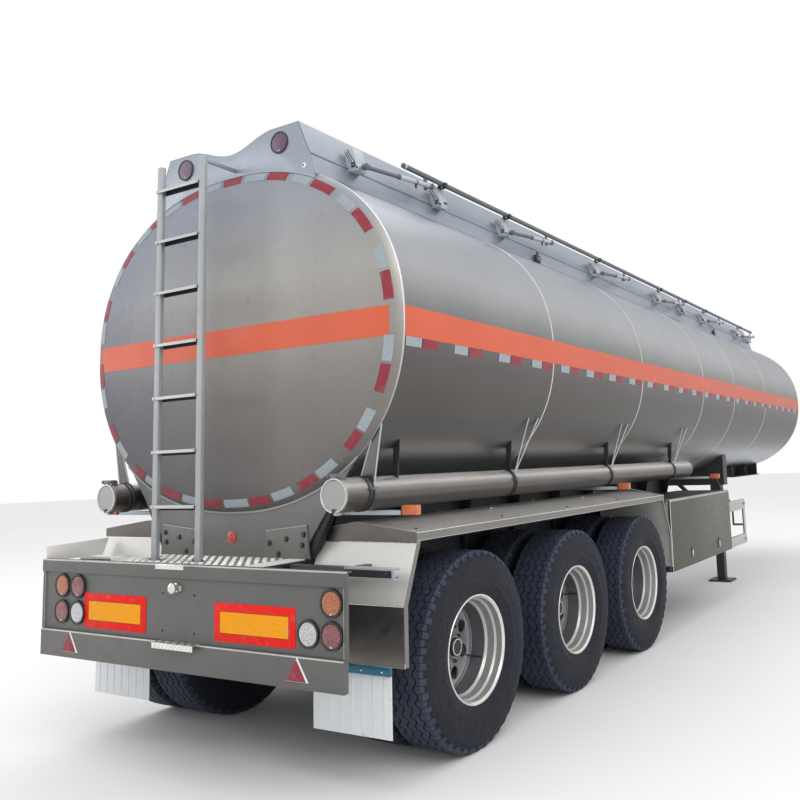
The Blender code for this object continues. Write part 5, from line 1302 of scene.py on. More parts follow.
class TANKER_OT_rear_end(PieceOperator, bpy.types.Operator):
    """Deck pattern, lamp board with lamps and plates, underrun beam with step and triangles"""

    bl_idname = "tanker.rear_end"
    bl_label = "Rear end"

    def build(self, context):
        self.build_deck()
        self.build_board()
        self.build_beam()

    def build_deck(self):
        """Patterned sheet on the deck with its folded lip."""
        piece = Piece("deck_pattern")
        piece.add("bright_metal", block(
            (-0.500, 0.034, deck_top - 0.0005), (0.450, rear_y - 0.014, deck_top + 0.0015), 0.0006, 1))
        add_pattern(piece, (-0.486, 0.048, deck_top + 0.0012), 33, 11, (0.029, 0.029), 0.003)
        piece.add("bright_metal", block(
            (-0.155, -0.0145, deck_top - 0.026), (0.070, 0.040, deck_top + 0.0015), 0.002))
        add_pattern(piece, (-0.133, 0.010, deck_top + 0.0012), 7, 1, (0.030, 0.0), 0.002)
        piece.place("bright_metal")
        dress_node("rear_deck", "pale_sheet")

    def build_board(self):
        """Painted board with its folded cap, upright ends, lamps, plates and coupling knob."""
        piece = Piece("lamp_board_dressed")
        piece.add("grey_paint", block(
            (-board_half, 0.0, board_low), (board_half, 0.005, deck_top - 0.010), 0.0008))
        cap = [(-0.0115, 1.0275), (-0.0115, 1.0950), (-0.009, 1.0980), (0.0, 1.0983), (0.031, 1.0983),
               (0.031, 1.0920), (0.005, 1.0915), (0.002, 1.0275)]
        piece.add("grey_paint", slab(cap, "x", -board_half - 0.0115, board_half + 0.0115, 0.0008))
        # Light strip along the cap's top edge: a painted highlight.
        piece.add("worn_edge", slab(
            [(-0.0122, 1.0915), (-0.0122, 1.0958), (-0.0095, 1.0986), (-0.003, 1.0988), (-0.003, 1.094)], "x",
            -board_half - 0.012, board_half + 0.012))
        piece.add_both("grey_paint", block(
            (board_half - 0.010, -0.006, board_low), (board_half + 0.0118, 0.008, 1.0875), 0.002))
        piece.add_both("worn_edge", block(
            (board_half - 0.0105, -0.0065, board_low + 0.004), (board_half - 0.0085, 0.002, 1.026), 0.0005,
            1))
        wing = [(0.0, 1.0823), (0.366, 1.0823), (0.4058, 1.1850), (0.0, 1.1700)]
        piece.add("pale_sheet", slab(wing, "x", -board_half, -board_half + 0.004, 0.0008))
        lamps = ((-1, 0.183, lamp_high, "lens_amber"), (-1, 0.329, lamp_high, "lens_red"),
                 (-1, 0.183, lamp_low, "lens_red"), (-1, 0.329, lamp_low, "lens_clear"),
                 (1, 0.082, lamp_high, "lens_amber"), (1, 0.227, lamp_low, "lens_clear"),
                 (1, 0.082, lamp_low, "lens_red"))
        for side, inset, z, lens in lamps:
            round_lamp(piece, side * (board_half - inset), z, 0.0, lens)
        for side, inset, width in ((-1, 0.387, 0.540), (1, 0.313, 0.559)):
            outer = side * (board_half - inset)
            low_x, high_x = sorted((outer, outer - side * width))
            low_z, high_z = 0.7265, 0.9185
            piece.add("plate_red", block((low_x, -0.003, low_z), (high_x, 0.002, high_z), 0.0008))
            piece.add("plate_dark", block(
                (low_x + 0.041, -0.0034, low_z + 0.041), (high_x - 0.041, 0.0, high_z - 0.041), 0.0003, 1))
            piece.add("plate_amber", block(
                (low_x + 0.044, -0.0039, low_z + 0.044), (high_x - 0.044, 0.0, high_z - 0.044), 0.0004, 1))
        knob = [
            (0.002, 0.0), (0.002, 0.024), (-0.004, 0.024), (-0.006, 0.018), (-0.014, 0.017), (-0.017, 0.024),
            (-0.024, 0.0295), (-0.032, 0.0285), (-0.040, 0.021), (-0.0445, 0.010), (-0.045, 0.0)]
        piece.add("bright_metal", lathe(knob, "y", (0.0, 0.0, 0.9775), 32))
        piece.add("worn_edge", block((0.024, -0.012, 0.962), (0.048, 0.002, 0.990), 0.003))
        for x, z in ((-0.105, 0.944), (0.143, 0.944), (-0.105, 0.751), (0.143, 0.751)):
            ring = [
                (0.001, 0.0), (0.001, 0.0060), (-0.0006, 0.0058), (-0.0006, 0.0045), (0.0, 0.0040),
                (0.0, 0.0)]
            piece.add("hole_dark", lathe(ring, "y", (x, 0.0, z), 14))
        piece.place("grey_paint", replaces=["lamp_board"], smooth=30.0)

    def build_beam(self):
        """Underrun beam with a painted highlight along its top edge, warning triangles, patterned step and
        legs.
        """
        piece = Piece("underrun_dressed")
        piece.add("grey_paint", block((-board_half, -0.018, 0.550), (board_half, 0.017, 0.6985), 0.004))
        # Light strip along the beam's top edge: a painted highlight.
        piece.add("worn_edge", slab(
            [(-0.0186, 0.6925), (-0.0186, 0.6965), (-0.0160, 0.6990), (-0.004, 0.6991), (-0.006, 0.6950)],
            "x", -board_half + 0.002, board_half - 0.002))
        for side in (-1, 1):
            centre = side * 0.880
            wide, low, high = 0.0725, 0.5845, 0.6965
            outline = [(centre - wide, low), (centre + wide, low), (centre, high)]
            piece.add("enamel_white", slab(outline, "y", -0.0205, -0.017, 0.0005))
            red = [(centre - wide + 0.004, low + 0.002), (centre + wide - 0.014, low + 0.002),
                   (centre - 0.004, high - 0.010)]
            piece.add("sheet_red", slab(red, "y", -0.0235, -0.018, 0.0005))
            piece.add("grey_paint", block(
                (side * 0.5 - 0.040, 0.011, 0.690), (side * 0.5 + 0.040, 0.100, 0.8597), 0.003))
        step_z = 0.6985
        piece.add("bright_metal", block(
            (-0.115, -0.0595, step_z - 0.001), (0.200, -0.0006, step_z + 0.004), 0.001))
        piece.add("bright_metal", block(
            (-0.115, -0.0585, step_z - 0.026), (0.200, -0.0545, step_z + 0.004), 0.001))
        add_pattern(piece, (-0.100, -0.045, step_z + 0.0036), 11, 2, (0.0285, 0.027), 0.002)
        for column in range(10):
            bar = rod((-0.095 + column * 0.030, -0.0578, step_z - 0.022),
                      (-0.080 + column * 0.030, -0.0578, step_z - 0.005), 0.0022, 8)
            piece.add("worn_edge", bar)
        piece.place("grey_paint", replaces=["underrun_beam"], smooth=30.0)


def dress_node(node, name):
    """Give a CAD node that stays in view a finish."""
    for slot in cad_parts[node].material_slots:
        slot.material = finish(name)


class TANKER_OT_saddle(PieceOperator, bpy.types.Operator):
    """Saddle plate under the tank's rear end with its bolted plates, reflector and side struts"""

    bl_idname = "tanker.saddle"
    bl_label = "Saddle"

    def build(self, context):
        piece = Piece("saddle_dressed")
        span = [0.915 - 1.830 * number / 40 for number in range(41)]
        top = [(x, shell_z(x, shell_gap)) for x in span]
        outline = top + [(-0.520, deck_top - 0.006), (0.520, deck_top - 0.006)]
        piece.add("saddle_paint", slab(outline, "y", rear_y, rear_y + 0.012, 0.001))
        low = deck_top + seat_gap
        for side in (-1, 1):
            plate = [(side * 0.261, low), (side * 0.600, low), (side * 0.580, low + 0.180),
                     (side * 0.281, low + 0.150)]
            piece.add("saddle_paint", slab(plate, "y", rear_y - 0.010, rear_y + 0.002, 0.0015))
            edge = [(side * 0.281, low + 0.150), (side * 0.580, low + 0.180), (side * 0.580, low + 0.1765),
                    (side * 0.281, low + 0.1465)]
            piece.add("worn_edge", slab(edge, "y", rear_y - 0.0112, rear_y + 0.001))
            for x, z in ((0.305, 1.172), (0.433, 1.196), (0.560, 1.222), (0.550, 1.165), (0.373, 1.114)):
                piece.add("nut_steel", bolt((side * x, rear_y - 0.010, z + 0.006), (0, -1, 0), 0.012, 0.010))
            strut = [(side * 0.535, deck_top + 0.001), (side * 0.600, deck_top + 0.001),
                     (side * 0.880, shell_z(0.880, 0.004)), (side * 0.760, shell_z(0.760, 0.004))]
            piece.add("dark_paint", slab(strut, "y", rear_y + 0.012, rear_y + 0.060, 0.002))
        reflector = [(rear_y + 0.001, 0.0), (rear_y + 0.001, 0.036), (rear_y - 0.004, 0.036),
                     (rear_y - 0.006, 0.031), (rear_y - 0.007, 0.0)]
        piece.add("lens_round", lathe(reflector, "y", (0.0, 0.0, 1.2045), 28))
        bead = [(x, rear_y - 0.001, shell_z(x, 0.001) - 0.002) for x in
                [0.930 - 1.860 * number / 36 for number in range(37)]]
        piece.add("sealant_grey", pipe(bead, 0.0065, 8, smooth=False))
        piece.place("grey_paint", replaces=["saddle_rear"], smooth=30.0)


# ---- Under the tank ----

class TANKER_OT_rails(PieceOperator, bpy.types.Operator):
    """Long I-beams with web, ribs and hangers, and the side marker lamps on their stalks"""

    bl_idname = "tanker.rails"
    bl_label = "Rails"

    def build(self, context):
        piece = Piece("long_beam")
        x, low, high = beam_x, beam_low, beam_top
        half, web, flange = 0.060, 0.005, 0.012
        outline = [(x - half, low), (x + half, low), (x + half, low + flange), (x + web, low + flange),
                   (x + web, high - flange), (x + half, high - flange), (x + half, high), (x - half, high),
                   (x - half, high - flange), (x - web, high - flange), (x - web, low + flange),
                   (x - half, low + flange)]
        piece.add("dark_paint", slab(outline, "y", 0.0053, beam_front, 0.002))
        top = shell_z(x - web, shell_gap)
        piece.add("dark_paint", slab(
            [(x - web, high - 0.004), (x + web, high - 0.004), (x + web, shell_z(x + web, shell_gap)),
                (x - web, top)], "y", 0.390, beam_front, 0.001))
        for number in range(9):
            y = 0.560 + number * 0.700
            if y < beam_front:
                rib = [
                    (x + web, high + 0.001), (x + 0.055, high + 0.001),
                    (x + 0.150, shell_z(x + 0.150, 0.0010)), (x + web, shell_z(x + web, 0.0010))]
                piece.add("dark_paint", slab(rib, "y", y, y + 0.008, 0.001))
                piece.add("dark_paint", block(
                    (x + web - 0.001, y, low + flange), (x + half - 0.006, y + 0.008, high - flange), 0.001))
        roof = tyre_radius + 0.274 + seat_gap       # over the springs' eyes
        for number in range(4):
            y = axle_ys[0] + (number - 0.5) * axle_pitch
            hanger = [
                (x - 0.059, low - 0.160), (x - 0.049, low - 0.160), (x - 0.049, roof), (x + 0.049, roof),
                (x + 0.049, low - 0.160), (x + 0.059, low - 0.160), (x + 0.059, low + 0.004),
                (x - 0.059, low + 0.004)]
            piece.add("dark_paint", slab(hanger, "y", y - 0.070, y + 0.070, 0.002))
            for z in (low - 0.130, low - 0.030):
                for dy in (0.035, -0.035):
                    piece.add("nut_steel", bolt((x + 0.059, y + dy, z), (1, 0, 0), 0.012, 0.010))
        for number, y in enumerate((0.468, 3.354, beam_front - 0.346)):
            piece.add("bracket_grey", block((x, y - 0.012, 1.324), (1.160, y + 0.012, 1.349), 0.003))
            piece.add("black_plastic", block((1.146, y - 0.0195, 1.3255), (1.156, y + 0.0195, 1.3745), 0.003))
            piece.add("lens_orange", block(
                (1.154, y - 0.0202, 1.3246), (1.2495, y + 0.0202, 1.3752), 0.005, 3))
            piece.add("lens_orange", block((1.172, y - 0.0210, 1.334), (1.232, y - 0.018, 1.366), 0.001))
        piece.add("rail_grey", rod((1.235, 3.362, 1.328), (1.2380, 4.120, 1.2425), 0.0035, 8))
        piece.add("rail_grey", rod((1.215, beam_front - 0.340, 1.330), (1.1850, 6.250, 1.1852), 0.0035, 8))
        piece.place_pair("dark_paint", replaced="rail", smooth=30.0)


class TANKER_OT_running_gear(PieceOperator, bpy.types.Operator):
    """Clamp plates with their U-bolts for the leaf packs, chamber bands and fittings on the axles, and the
    nodes that stay in view
    """

    bl_idname = "tanker.running_gear"
    bl_label = "Running gear"

    def build(self, context):
        for node in ("crossmember_1", "crossmember_2", "axle_1", "axle_2", "axle_3", "landing_gear", "coupler"):
            dress_node(node, "dark_paint")
        piece = Piece("axle_fittings")
        for y in axle_ys:
            for side in (-1, 1):
                for dy in (-0.062, 0.062):
                    for dx in (-0.049, 0.049):
                        x = side * beam_x + dx
                        piece.add("nut_steel", rod(
                            (x, y + dy, tyre_radius - 0.095), (x, y + dy, 0.752), 0.008, 10))
                        piece.add("nut_steel", bolt((x, y + dy, 0.752), (0, 0, 1), 0.012, 0.012))
                piece.add("dark_paint", block(
                    (side * beam_x - 0.062, y - 0.080, tyre_radius - 0.096),
                    (side * beam_x + 0.062, y + 0.080, tyre_radius - 0.072), 0.003))
                piece.add("dark_paint", block(
                    (side * beam_x - 0.058, y - 0.075, 0.7235), (side * beam_x + 0.058, y + 0.075, 0.745),
                    0.003))
                chamber = (side * 0.300, y + 0.190, tyre_radius + 0.060)
                for dx in (-0.040, 0.040):
                    band = [
                        (dx - 0.009, 0.080), (dx - 0.009, 0.091), (dx + 0.009, 0.091), (dx + 0.009, 0.080)]
                    piece.add("worn_edge", lathe(band, "x", chamber, 24, loop=True))
        piece.place("dark_paint")
        legs = Piece("leg_fittings")
        leg_x, leg_y = 0.740, front_y - 3.092
        for side in (-1, 1):
            for z in (0.560, 0.640):
                for dx in (-0.045, 0.045):
                    legs.add("nut_steel", bolt(
                        (side * leg_x + dx, leg_y - 0.065, z), (0, -1, 0), 0.009, 0.007))
            legs.add("worn_edge", block(
                (side * leg_x - 0.069, leg_y - 0.069, 0.480), (side * leg_x + 0.069, leg_y + 0.069, 0.496),
                0.002))
            for dx in (-0.115, 0.115):
                for dy in (-0.115, 0.115):
                    legs.add("nut_steel", bolt(
                        (side * leg_x + dx, leg_y + dy, 0.020), (0, 0, 1), 0.008, 0.006))
        legs.add("rail_grey", rod((0.918, leg_y, 0.700), (1.040, leg_y, 0.700), 0.0135, 14, bevel=0.002))
        legs.place("dark_paint")


class TANKER_OT_fenders(PieceOperator, bpy.types.Operator):
    """Folded fenders with lips, loops and arms, and the mud flaps"""

    bl_idname = "tanker.fenders"
    bl_label = "Fenders and flaps"

    def build(self, context):
        for side, near, far in (("right", "rail_grey", "bracket_grey"), ("left", "pale_sheet", "pale_sheet")):
            self.build_arm(side, near, far)
        self.build_fender()
        self.build_flap()

    def build_fender(self):
        """Roof with its folded flange, sloping end panels with their lips, loops and bolts."""
        piece = Piece("fender_dressed")
        outer, inner, ridge, sheet = fender_outer, fender_inner, fender_ridge, fender_sheet
        inner_z, outer_z, ridge_z = fender_inner_z, fender_outer_z, fender_ridge_z
        rear, front = fender_rear, fender_front
        roof = [(inner, inner_z), (ridge, ridge_z), (outer - 0.0005, outer_z + 0.0001),
                (outer - 0.0005, outer_z - 0.0042), (ridge, ridge_z - sheet), (inner, inner_z - sheet)]
        piece.add("fender_top", slab(roof, "y", rear, front, 0.0006, 1))
        piece.add("lip_metal", block(
            (outer - sheet, rear + 0.0005, 1.1950), (outer - 0.0008, front - 0.0005, outer_z - 0.0015)))
        fold = [(outer, 1.2355), (outer, 1.2401), (outer - 0.010, 1.2414), (outer - 0.010, 1.2380)]
        piece.add("bright_metal", slab(fold, "y", rear + 0.001, front - 0.001))
        piece.add("bright_metal", block(
            (outer - 0.0045, rear + 0.001, 1.1945), (outer, front - 0.001, 1.1970), 0.0005, 1))
        under = 1.1850
        for end_y, knee_y, out in ((rear, 0.330, -1), (front, 4.296, 1)):
            back = -out * sheet
            knee_z, low_z = 0.8875, 0.5950
            side = [(end_y, under), (knee_y, knee_z), (knee_y, low_z), (knee_y + back, low_z),
                    (knee_y + back, knee_z), (end_y + back, under)]
            piece.add("satin_panel", slab(side, "x", inner, outer - 0.001, 0.0006, 1))
            gable = [(inner, under - 0.004), (outer - 0.001, under - 0.004), (outer - 0.001, 1.2385),
                     (ridge, 1.2885), (inner, 1.2485)]
            ends = sorted((end_y, end_y + back))
            piece.add(
                "dull_metal" if out < 0 else "sheet_metal", slab(gable, "y", ends[0], ends[1], 0.0005, 1))
            lip = [(end_y, 1.2360), (end_y, under), (knee_y, knee_z), (knee_y, low_z + 0.024),
                   (knee_y + back * 2, low_z + 0.006), (knee_y + back * 5, low_z), (knee_y + back * 8, low_z),
                   (knee_y + back * 8, knee_z), (end_y + back * 8, under), (end_y + back * 8, 1.2360)]
            piece.add("lip_metal", slab(lip, "x", outer - sheet, outer - 0.0003, 0.0008, 1))
            fold_y = knee_y - 0.001 if out < 0 else knee_y + 0.001
            # Bright rods along the folds: painted highlights on the fold edges.
            piece.add("bright_metal", rod((inner, end_y, under), (outer - 0.004, end_y, under), 0.0022, 8))
            piece.add("bright_metal", rod(
                (inner, fold_y, knee_z), (outer - 0.004, fold_y, knee_z), 0.0022, 8))
        # Dark sheet over the rear lower panel: painted shade and reflection.
        low_panel = block((inner + 0.002, 0.3292, 0.5960), (outer - 0.003, 0.3310, 0.8855), 0.0004, 1)
        piece.add("dull_metal", low_panel)
        for y in (1.698, 3.008):
            piece.add("dark_paint", block((0.5053, y - 0.020, 1.220), (0.660, y + 0.020, 1.249), 0.002))
        for px, py in ((0.760, 1.35), (0.985, 1.62), (0.760, 2.60), (1.010, 2.95), (0.820, 3.60)):
            edge, edge_z = (inner, inner_z) if px < ridge else (outer, outer_z)
            z = ridge_z - (ridge_z - edge_z) * (px - ridge) / (edge - ridge)
            loop = [(px, py - 0.020, z - 0.002), (px, py - 0.018, z + 0.012), (px, py, z + 0.017),
                    (px, py + 0.018, z + 0.012), (px, py + 0.020, z - 0.002)]
            piece.add("worn_edge", pipe(loop, 0.003, 8))
        for y in (0.520, 1.40, 2.30, 3.20, 4.08):
            piece.add("nut_steel", bolt((outer - 0.060, y, 1.2517), (0.14, 0, 1), 0.006, 0.004))
        piece.place_pair("sheet_metal", replaced="fender", smooth=30.0)

    def build_arm(self, side, near, far):
        """Channel that carries the fender's rear end, in two finishes along its length, with painted shade in
        its mouth and painted highlights along its flanges.
        """
        arm = [(0.260, 1.0272), (0.260, 1.0820), (0.300, 1.0820), (0.300, 1.0710), (0.2960, 1.0710),
               (0.2960, 1.0780), (0.2640, 1.0780), (0.2640, 1.0312), (0.2960, 1.0312), (0.2960, 1.0382),
               (0.300, 1.0382), (0.300, 1.0272)]
        outer, turn_x = fender_outer, 0.930
        beam = Piece(f"fender_arm_{side}")
        beam.add(near, slab(arm, "x", 0.5603, turn_x, 0.0008, 1),
                 block((0.950, 0.280, 1.038), (0.990, 0.440, 1.081), 0.002))
        beam.add(far, slab(arm, "x", turn_x, outer - 0.0002, 0.0008, 1))
        # Dark sheet in the channel's mouth: painted shade; light strips on the top and bottom flanges: painted
        # highlights.
        beam.add("dark_paint", block(
            (turn_x + 0.001, 0.2592, 1.0345), (outer - 0.020, 0.2602, 1.0700), 0.0003, 1))
        beam.add("bracket_grey", block(
            (turn_x + 0.001, 0.2585, 1.0725), (outer - 0.012, 0.2640, 1.0822), 0.0012, 1))
        beam.add("worn_edge", block(
            (turn_x + 0.001, 0.2588, 1.0268), (outer - 0.012, 0.2620, 1.0318), 0.0006, 1))
        beam.add("nut_steel", bolt((1.200, 0.2592, 1.055), (0, -1, 0), 0.008, 0.007))
        beam.place("sheet_metal", mirror=side == "left")

    def build_flap(self):
        """Mud flap with ribs, its blue clamping strip and rivets."""
        flap = Piece("flap_dressed")
        front = 0.330 + fender_sheet + seat_gap
        flap.add("flap_white", block((0.650, front, 0.250), (1.160, front + 0.006, 0.625), 0.0015))
        flap.add("strip_blue", block((0.650, front - 0.0118, 0.551), (1.160, front + 0.005, 0.591), 0.0012))
        for x in (0.700, 0.830, 0.980, 1.110):
            flap.add("bright_metal", lathe(
                [(front - 0.010, 0.0), (front - 0.010, 0.007), (front - 0.0125, 0.0065),
                    (front - 0.0150, 0.003), (front - 0.0152, 0.0)], "y", (x, 0.0, 0.571), 14))
        for number in range(7):
            x = 0.700 + number * 0.0683
            flap.add("flap_white", block(
                (x, front - 0.0022, 0.262), (x + 0.012, front + 0.001, 0.540), 0.001))
        flap.place_pair("flap_white", replaced="mud_flap")


class TANKER_OT_hose_tubes(PieceOperator, bpy.types.Operator):
    """Hose tubes with rubber bands and straps, and their lids"""

    bl_idname = "tanker.hose_tubes"
    bl_label = "Hose tubes"

    def build(self, context):
        for side, start in (("right", 0.170), ("left", 0.244)):
            self.build_tube(side, start)
            self.build_lid(side, start)

    def build_tube(self, side, start):
        """Tube with its bands, straps, hinge ears and the plate from the head's rim."""
        x, z = tube_x, tube_z
        end, outer, inner = 5.700, tube_radius, 0.083
        piece = Piece(f"tube_dressed_{side}")
        wall = [
            (start, inner), (start, outer - 0.001), (start + 0.001, outer), (start + 0.010, outer),
            (start + 0.011, outer - 0.0008), (end - 0.002, outer - 0.0008), (end, outer - 0.003), (end, 0.0),
            (end - 0.004, 0.0), (end - 0.004, inner), (start, inner)]
        piece.add("tube_metal", lathe(wall, "y", (x, 0.0, z), 56))
        for y in (0.356, 1.847, 3.495, 5.118):
            for dy in (-0.014, 0.014):
                ring = [(y + dy - 0.007, outer - 0.002), (y + dy - 0.007, outer + 0.003),
                        (y + dy - 0.003, outer + 0.0055), (y + dy + 0.003, outer + 0.0055),
                        (y + dy + 0.007, outer + 0.003), (y + dy + 0.007, outer - 0.002)]
                piece.add("black_plastic", lathe(ring, "y", (x, 0.0, z), 48, loop=True))
            piece.add("rail_grey", block(
                (x + outer - 0.006, y - 0.020, z + 0.020), (x + outer + 0.016, y + 0.020, z + 0.034), 0.002))
        for y in (0.620, 1.847, 3.495, 5.118):
            low_x, high_x = x + 0.020, x + 0.066
            strap = [(low_x, z), (high_x - 0.020, z), (high_x, shell_z(high_x, 0.0008)),
                     (low_x, shell_z(low_x, 0.0008))]
            piece.add("dark_paint", slab(strap, "y", y - 0.003, y + 0.003, 0.001))
            if y > 1.0:
                foot = Vector((x + 0.072, y + 0.012, z + 0.056))
                for reach in (0.050, 0.185):
                    head = Vector((1.130, y + reach, shell_z(1.130, 0.002)))
                    piece.add("bracket_grey", rod(foot, head, 0.0045, 8))
        rim_z = shell_z(x + 0.130, 0.002)
        plate = [(x - 0.010, z + outer - 0.002), (x + outer - 0.012, z + 0.040), (x + 0.130, rim_z),
                 (x + 0.060, shell_z(x + 0.060, 0.002))]
        piece.add("dull_metal", slab(plate, "y", 0.383, 0.387, 0.0006))
        for first, last in ((plate[1], plate[2]), (plate[0], plate[3])):
            piece.add("bracket_grey", rod(
                (first[0], 0.3835, first[1]), (last[0], 0.3835, last[1]), 0.0042, 8))
        hinge_y, top = start - 0.004, z + outer
        for way in (-1, 1):
            low, high = sorted((x + way * 0.0306, x + way * 0.0406))
            ear = [(hinge_y - 0.010, top + 0.003), (start + 0.001, top + 0.003), (start + 0.001, top - 0.014),
                   (start + 0.040, top - 0.014), (start + 0.040, top + 0.018), (start + 0.030, top + 0.024),
                   (hinge_y - 0.006, top + 0.024), (hinge_y - 0.010, top + 0.020)]
            piece.add("rail_grey", slab(ear, "x", low, high, 0.001))
        piece.add("worn_edge", block(
            (x - 0.012, start + 0.002, z - outer - 0.012), (x + 0.012, start + 0.036, z - outer + 0.002),
            0.002))
        piece.place("tank_metal", "root", [f"hose_tube_{side}"], side == "left", 30.0)

    def build_lid(self, side, start):
        """Dished cap with a bright rim, its hinge and its latch."""
        x, z, outer = tube_x, tube_z, tube_radius
        lid = Piece(f"tube_cap_{side}")
        back = start - seat_gap
        front = back - 0.012
        disc = [(back, 0.0), (back, outer - 0.001), (back - 0.001, outer), (front + 0.001, outer),
                (front, outer - 0.001), (front, outer - 0.008), (front + 0.004, outer - 0.011),
                (front + 0.004, 0.030), (front + 0.003, 0.0)]
        lid.add("cap_metal", lathe(disc, "y", (x, 0.0, z), 56))
        rim = [
            (front + 0.0005, outer - 0.008), (front - 0.0008, outer - 0.0065),
            (front - 0.0008, outer - 0.0025), (front + 0.0005, outer - 0.0008),
            (front + 0.002, outer - 0.0045)]
        lid.add("bright_metal", lathe(rim, "y", (x, 0.0, z), 56, loop=True))
        hinge_y, hinge_z = start - 0.004, z + outer + 0.014
        lid.add("rail_grey", rod(
            (x - 0.030, hinge_y, hinge_z), (x + 0.030, hinge_y, hinge_z), 0.008, 16, bevel=0.001))
        lid.add("rail_grey", block(
            (x - 0.024, front + 0.001, z + outer - 0.014), (x + 0.024, back - 0.001, hinge_z + 0.002),
            0.0015))
        lid.add("nut_steel", block(
            (x - 0.009, front - 0.004, z - outer + 0.002), (x + 0.009, front + 0.004, z - outer + 0.022),
            0.002))
        name = f"tube_lid_{side}"
        lid.place("bright_metal", name, [name], side == "left", 30.0)


class TANKER_OT_toolboxes(PieceOperator, bpy.types.Operator):
    """Toolboxes with side guards, and their doors with latches"""

    bl_idname = "tanker.toolboxes"
    bl_label = "Toolboxes"

    def build(self, context):
        self.build_box()
        self.build_door()

    def build_box(self):
        """Box of five sheets, with its bearers and the side guard ahead of it."""
        piece = Piece("toolbox_dressed")
        parts = [
            ((box_inner, box_rear, box_low), (box_face, box_front, box_low + box_wall)),
            ((box_inner, box_rear, box_high - box_wall), (box_face, box_front, box_high)),
            ((box_inner, box_rear, box_low + box_wall), (box_inner + box_wall, box_front, box_high - box_wall)),
            ((box_inner + box_wall, box_rear, box_low + box_wall), (box_face, box_rear + box_wall,
                                                                    box_high - box_wall)),
            ((box_inner + box_wall, box_front - box_wall, box_low + box_wall), (box_face, box_front,
                                                                                box_high - box_wall)),
        ]
        for near, far in parts:
            piece.add("door_metal", block(near, far, 0.0008, 1))
        piece.add("bright_metal", block(
            (box_face - 0.020, box_rear - 0.0012, box_low + 0.002),
            (box_face - 0.0004, box_rear + 0.002, box_high - 0.002), 0.0005, 1))
        piece.add("bright_metal", block(
            (box_inner + 0.02, box_rear + 0.002, box_high - 0.002),
            (box_face - 0.001, box_rear + 0.014, box_high + 0.0015), 0.0005, 1))
        for y in (box_rear + 0.150, box_front - 0.300):
            piece.add("dark_paint", block((0.5053, y, 0.890), (box_inner + 0.002, y + 0.060, 1.061), 0.002))
            piece.add("nut_steel", bolt((box_inner + box_wall, y + 0.030, 0.930), (1, 0, 0), 0.010, 0.008))
        for bar_low, bar_high in ((0.930, 1.045), (0.535, 0.645)):
            piece.add("sheet_metal", block(
                (1.187, box_front - 0.002, bar_low), (1.212, 7.100, bar_high), 0.004))
        piece.add("sheet_metal", block((1.189, 7.032, 0.537), (1.210, 7.098, 1.043), 0.003))
        for z in (0.580, 0.990):
            piece.add("nut_steel", bolt((1.212, 7.065, z), (1, 0, 0), 0.009, 0.007))
        piece.place_pair("sheet_metal", replaced="toolbox", smooth=30.0)

    def build_door(self):
        """Door with a folded rim, its hinge and two latches."""
        door = Piece("door_dressed")
        back, depth = box_face + seat_gap, 0.022
        start, end, bottom, top = box_rear + 0.002, box_front - 0.002, box_low + 0.002, box_high - 0.0102
        door.add("door_metal", block(
            (back + depth - 0.004, start, bottom), (back + depth - 0.0004, end, top), 0.0015))
        for near, far in (((start, bottom), (start + 0.012, top)), ((end - 0.012, bottom), (end, top)),
                          ((start, bottom), (end, bottom + 0.012)), ((start, top - 0.012), (end, top))):
            door.add("door_metal", block(
                (back, near[0], near[1]), (back + depth - 0.002, far[0], far[1]), 0.0006, 1))
        edge = back + depth
        door.add("bright_metal", block(
            (edge - 0.006, start, bottom), (edge - 0.0002, start + 0.012, top), 0.0006, 1))
        door.add("worn_edge", block(
            (edge - 0.006, start + 0.012, top - 0.010), (edge - 0.0002, end, top), 0.0006, 1))
        door.add("worn_edge", rod(
            (back + depth / 2, start, box_high - 0.006), (back + depth / 2, end, box_high - 0.006), 0.006,
            14))
        for y in (4.910, 5.834):
            z = 0.659
            door.add("nut_steel", block(
                (edge - 0.002, y - 0.020, z - 0.052), (edge + 0.003, y + 0.020, z + 0.052), 0.0015))
            door.add("bright_metal", block(
                (edge + 0.002, y - 0.011, z - 0.044), (edge + 0.0125, y + 0.011, z + 0.020), 0.003))
            door.add("nut_steel", rod(
                (edge + 0.006, y - 0.016, z + 0.026), (edge + 0.006, y + 0.016, z + 0.026), 0.005, 12))
        door.place_pair(
            "sheet_metal", ("toolbox_door_right", "toolbox_door_left"), "toolbox_door", smooth=30.0)


# ---- Wheels ----

def cut_out(shape, holes):
    """Cut shapes out of a closed shape and return what is left."""
    solids = []
    for part in [shape] + holes:
        mesh = bpy.data.meshes.new("cutting")
        part.to_mesh(mesh)
        part.free()
        solids.append(bpy.data.objects.new("cutting", mesh))
        bpy.context.scene.collection.objects.link(solids[-1])
    for hole in solids[1:]:
        cut = solids[0].modifiers.new("cut", "BOOLEAN")
        cut.operation = "DIFFERENCE"
        cut.solver = "EXACT"
        cut.object = hole
    view = bpy.context.evaluated_depsgraph_get()
    mesh = bpy.data.meshes.new_from_object(solids[0].evaluated_get(view))
    left = bmesh.new()
    left.from_mesh(mesh)
    bpy.data.meshes.remove(mesh)
    for solid in solids:
        used = solid.data
        bpy.data.objects.remove(solid)
        bpy.data.meshes.remove(used)
    return left


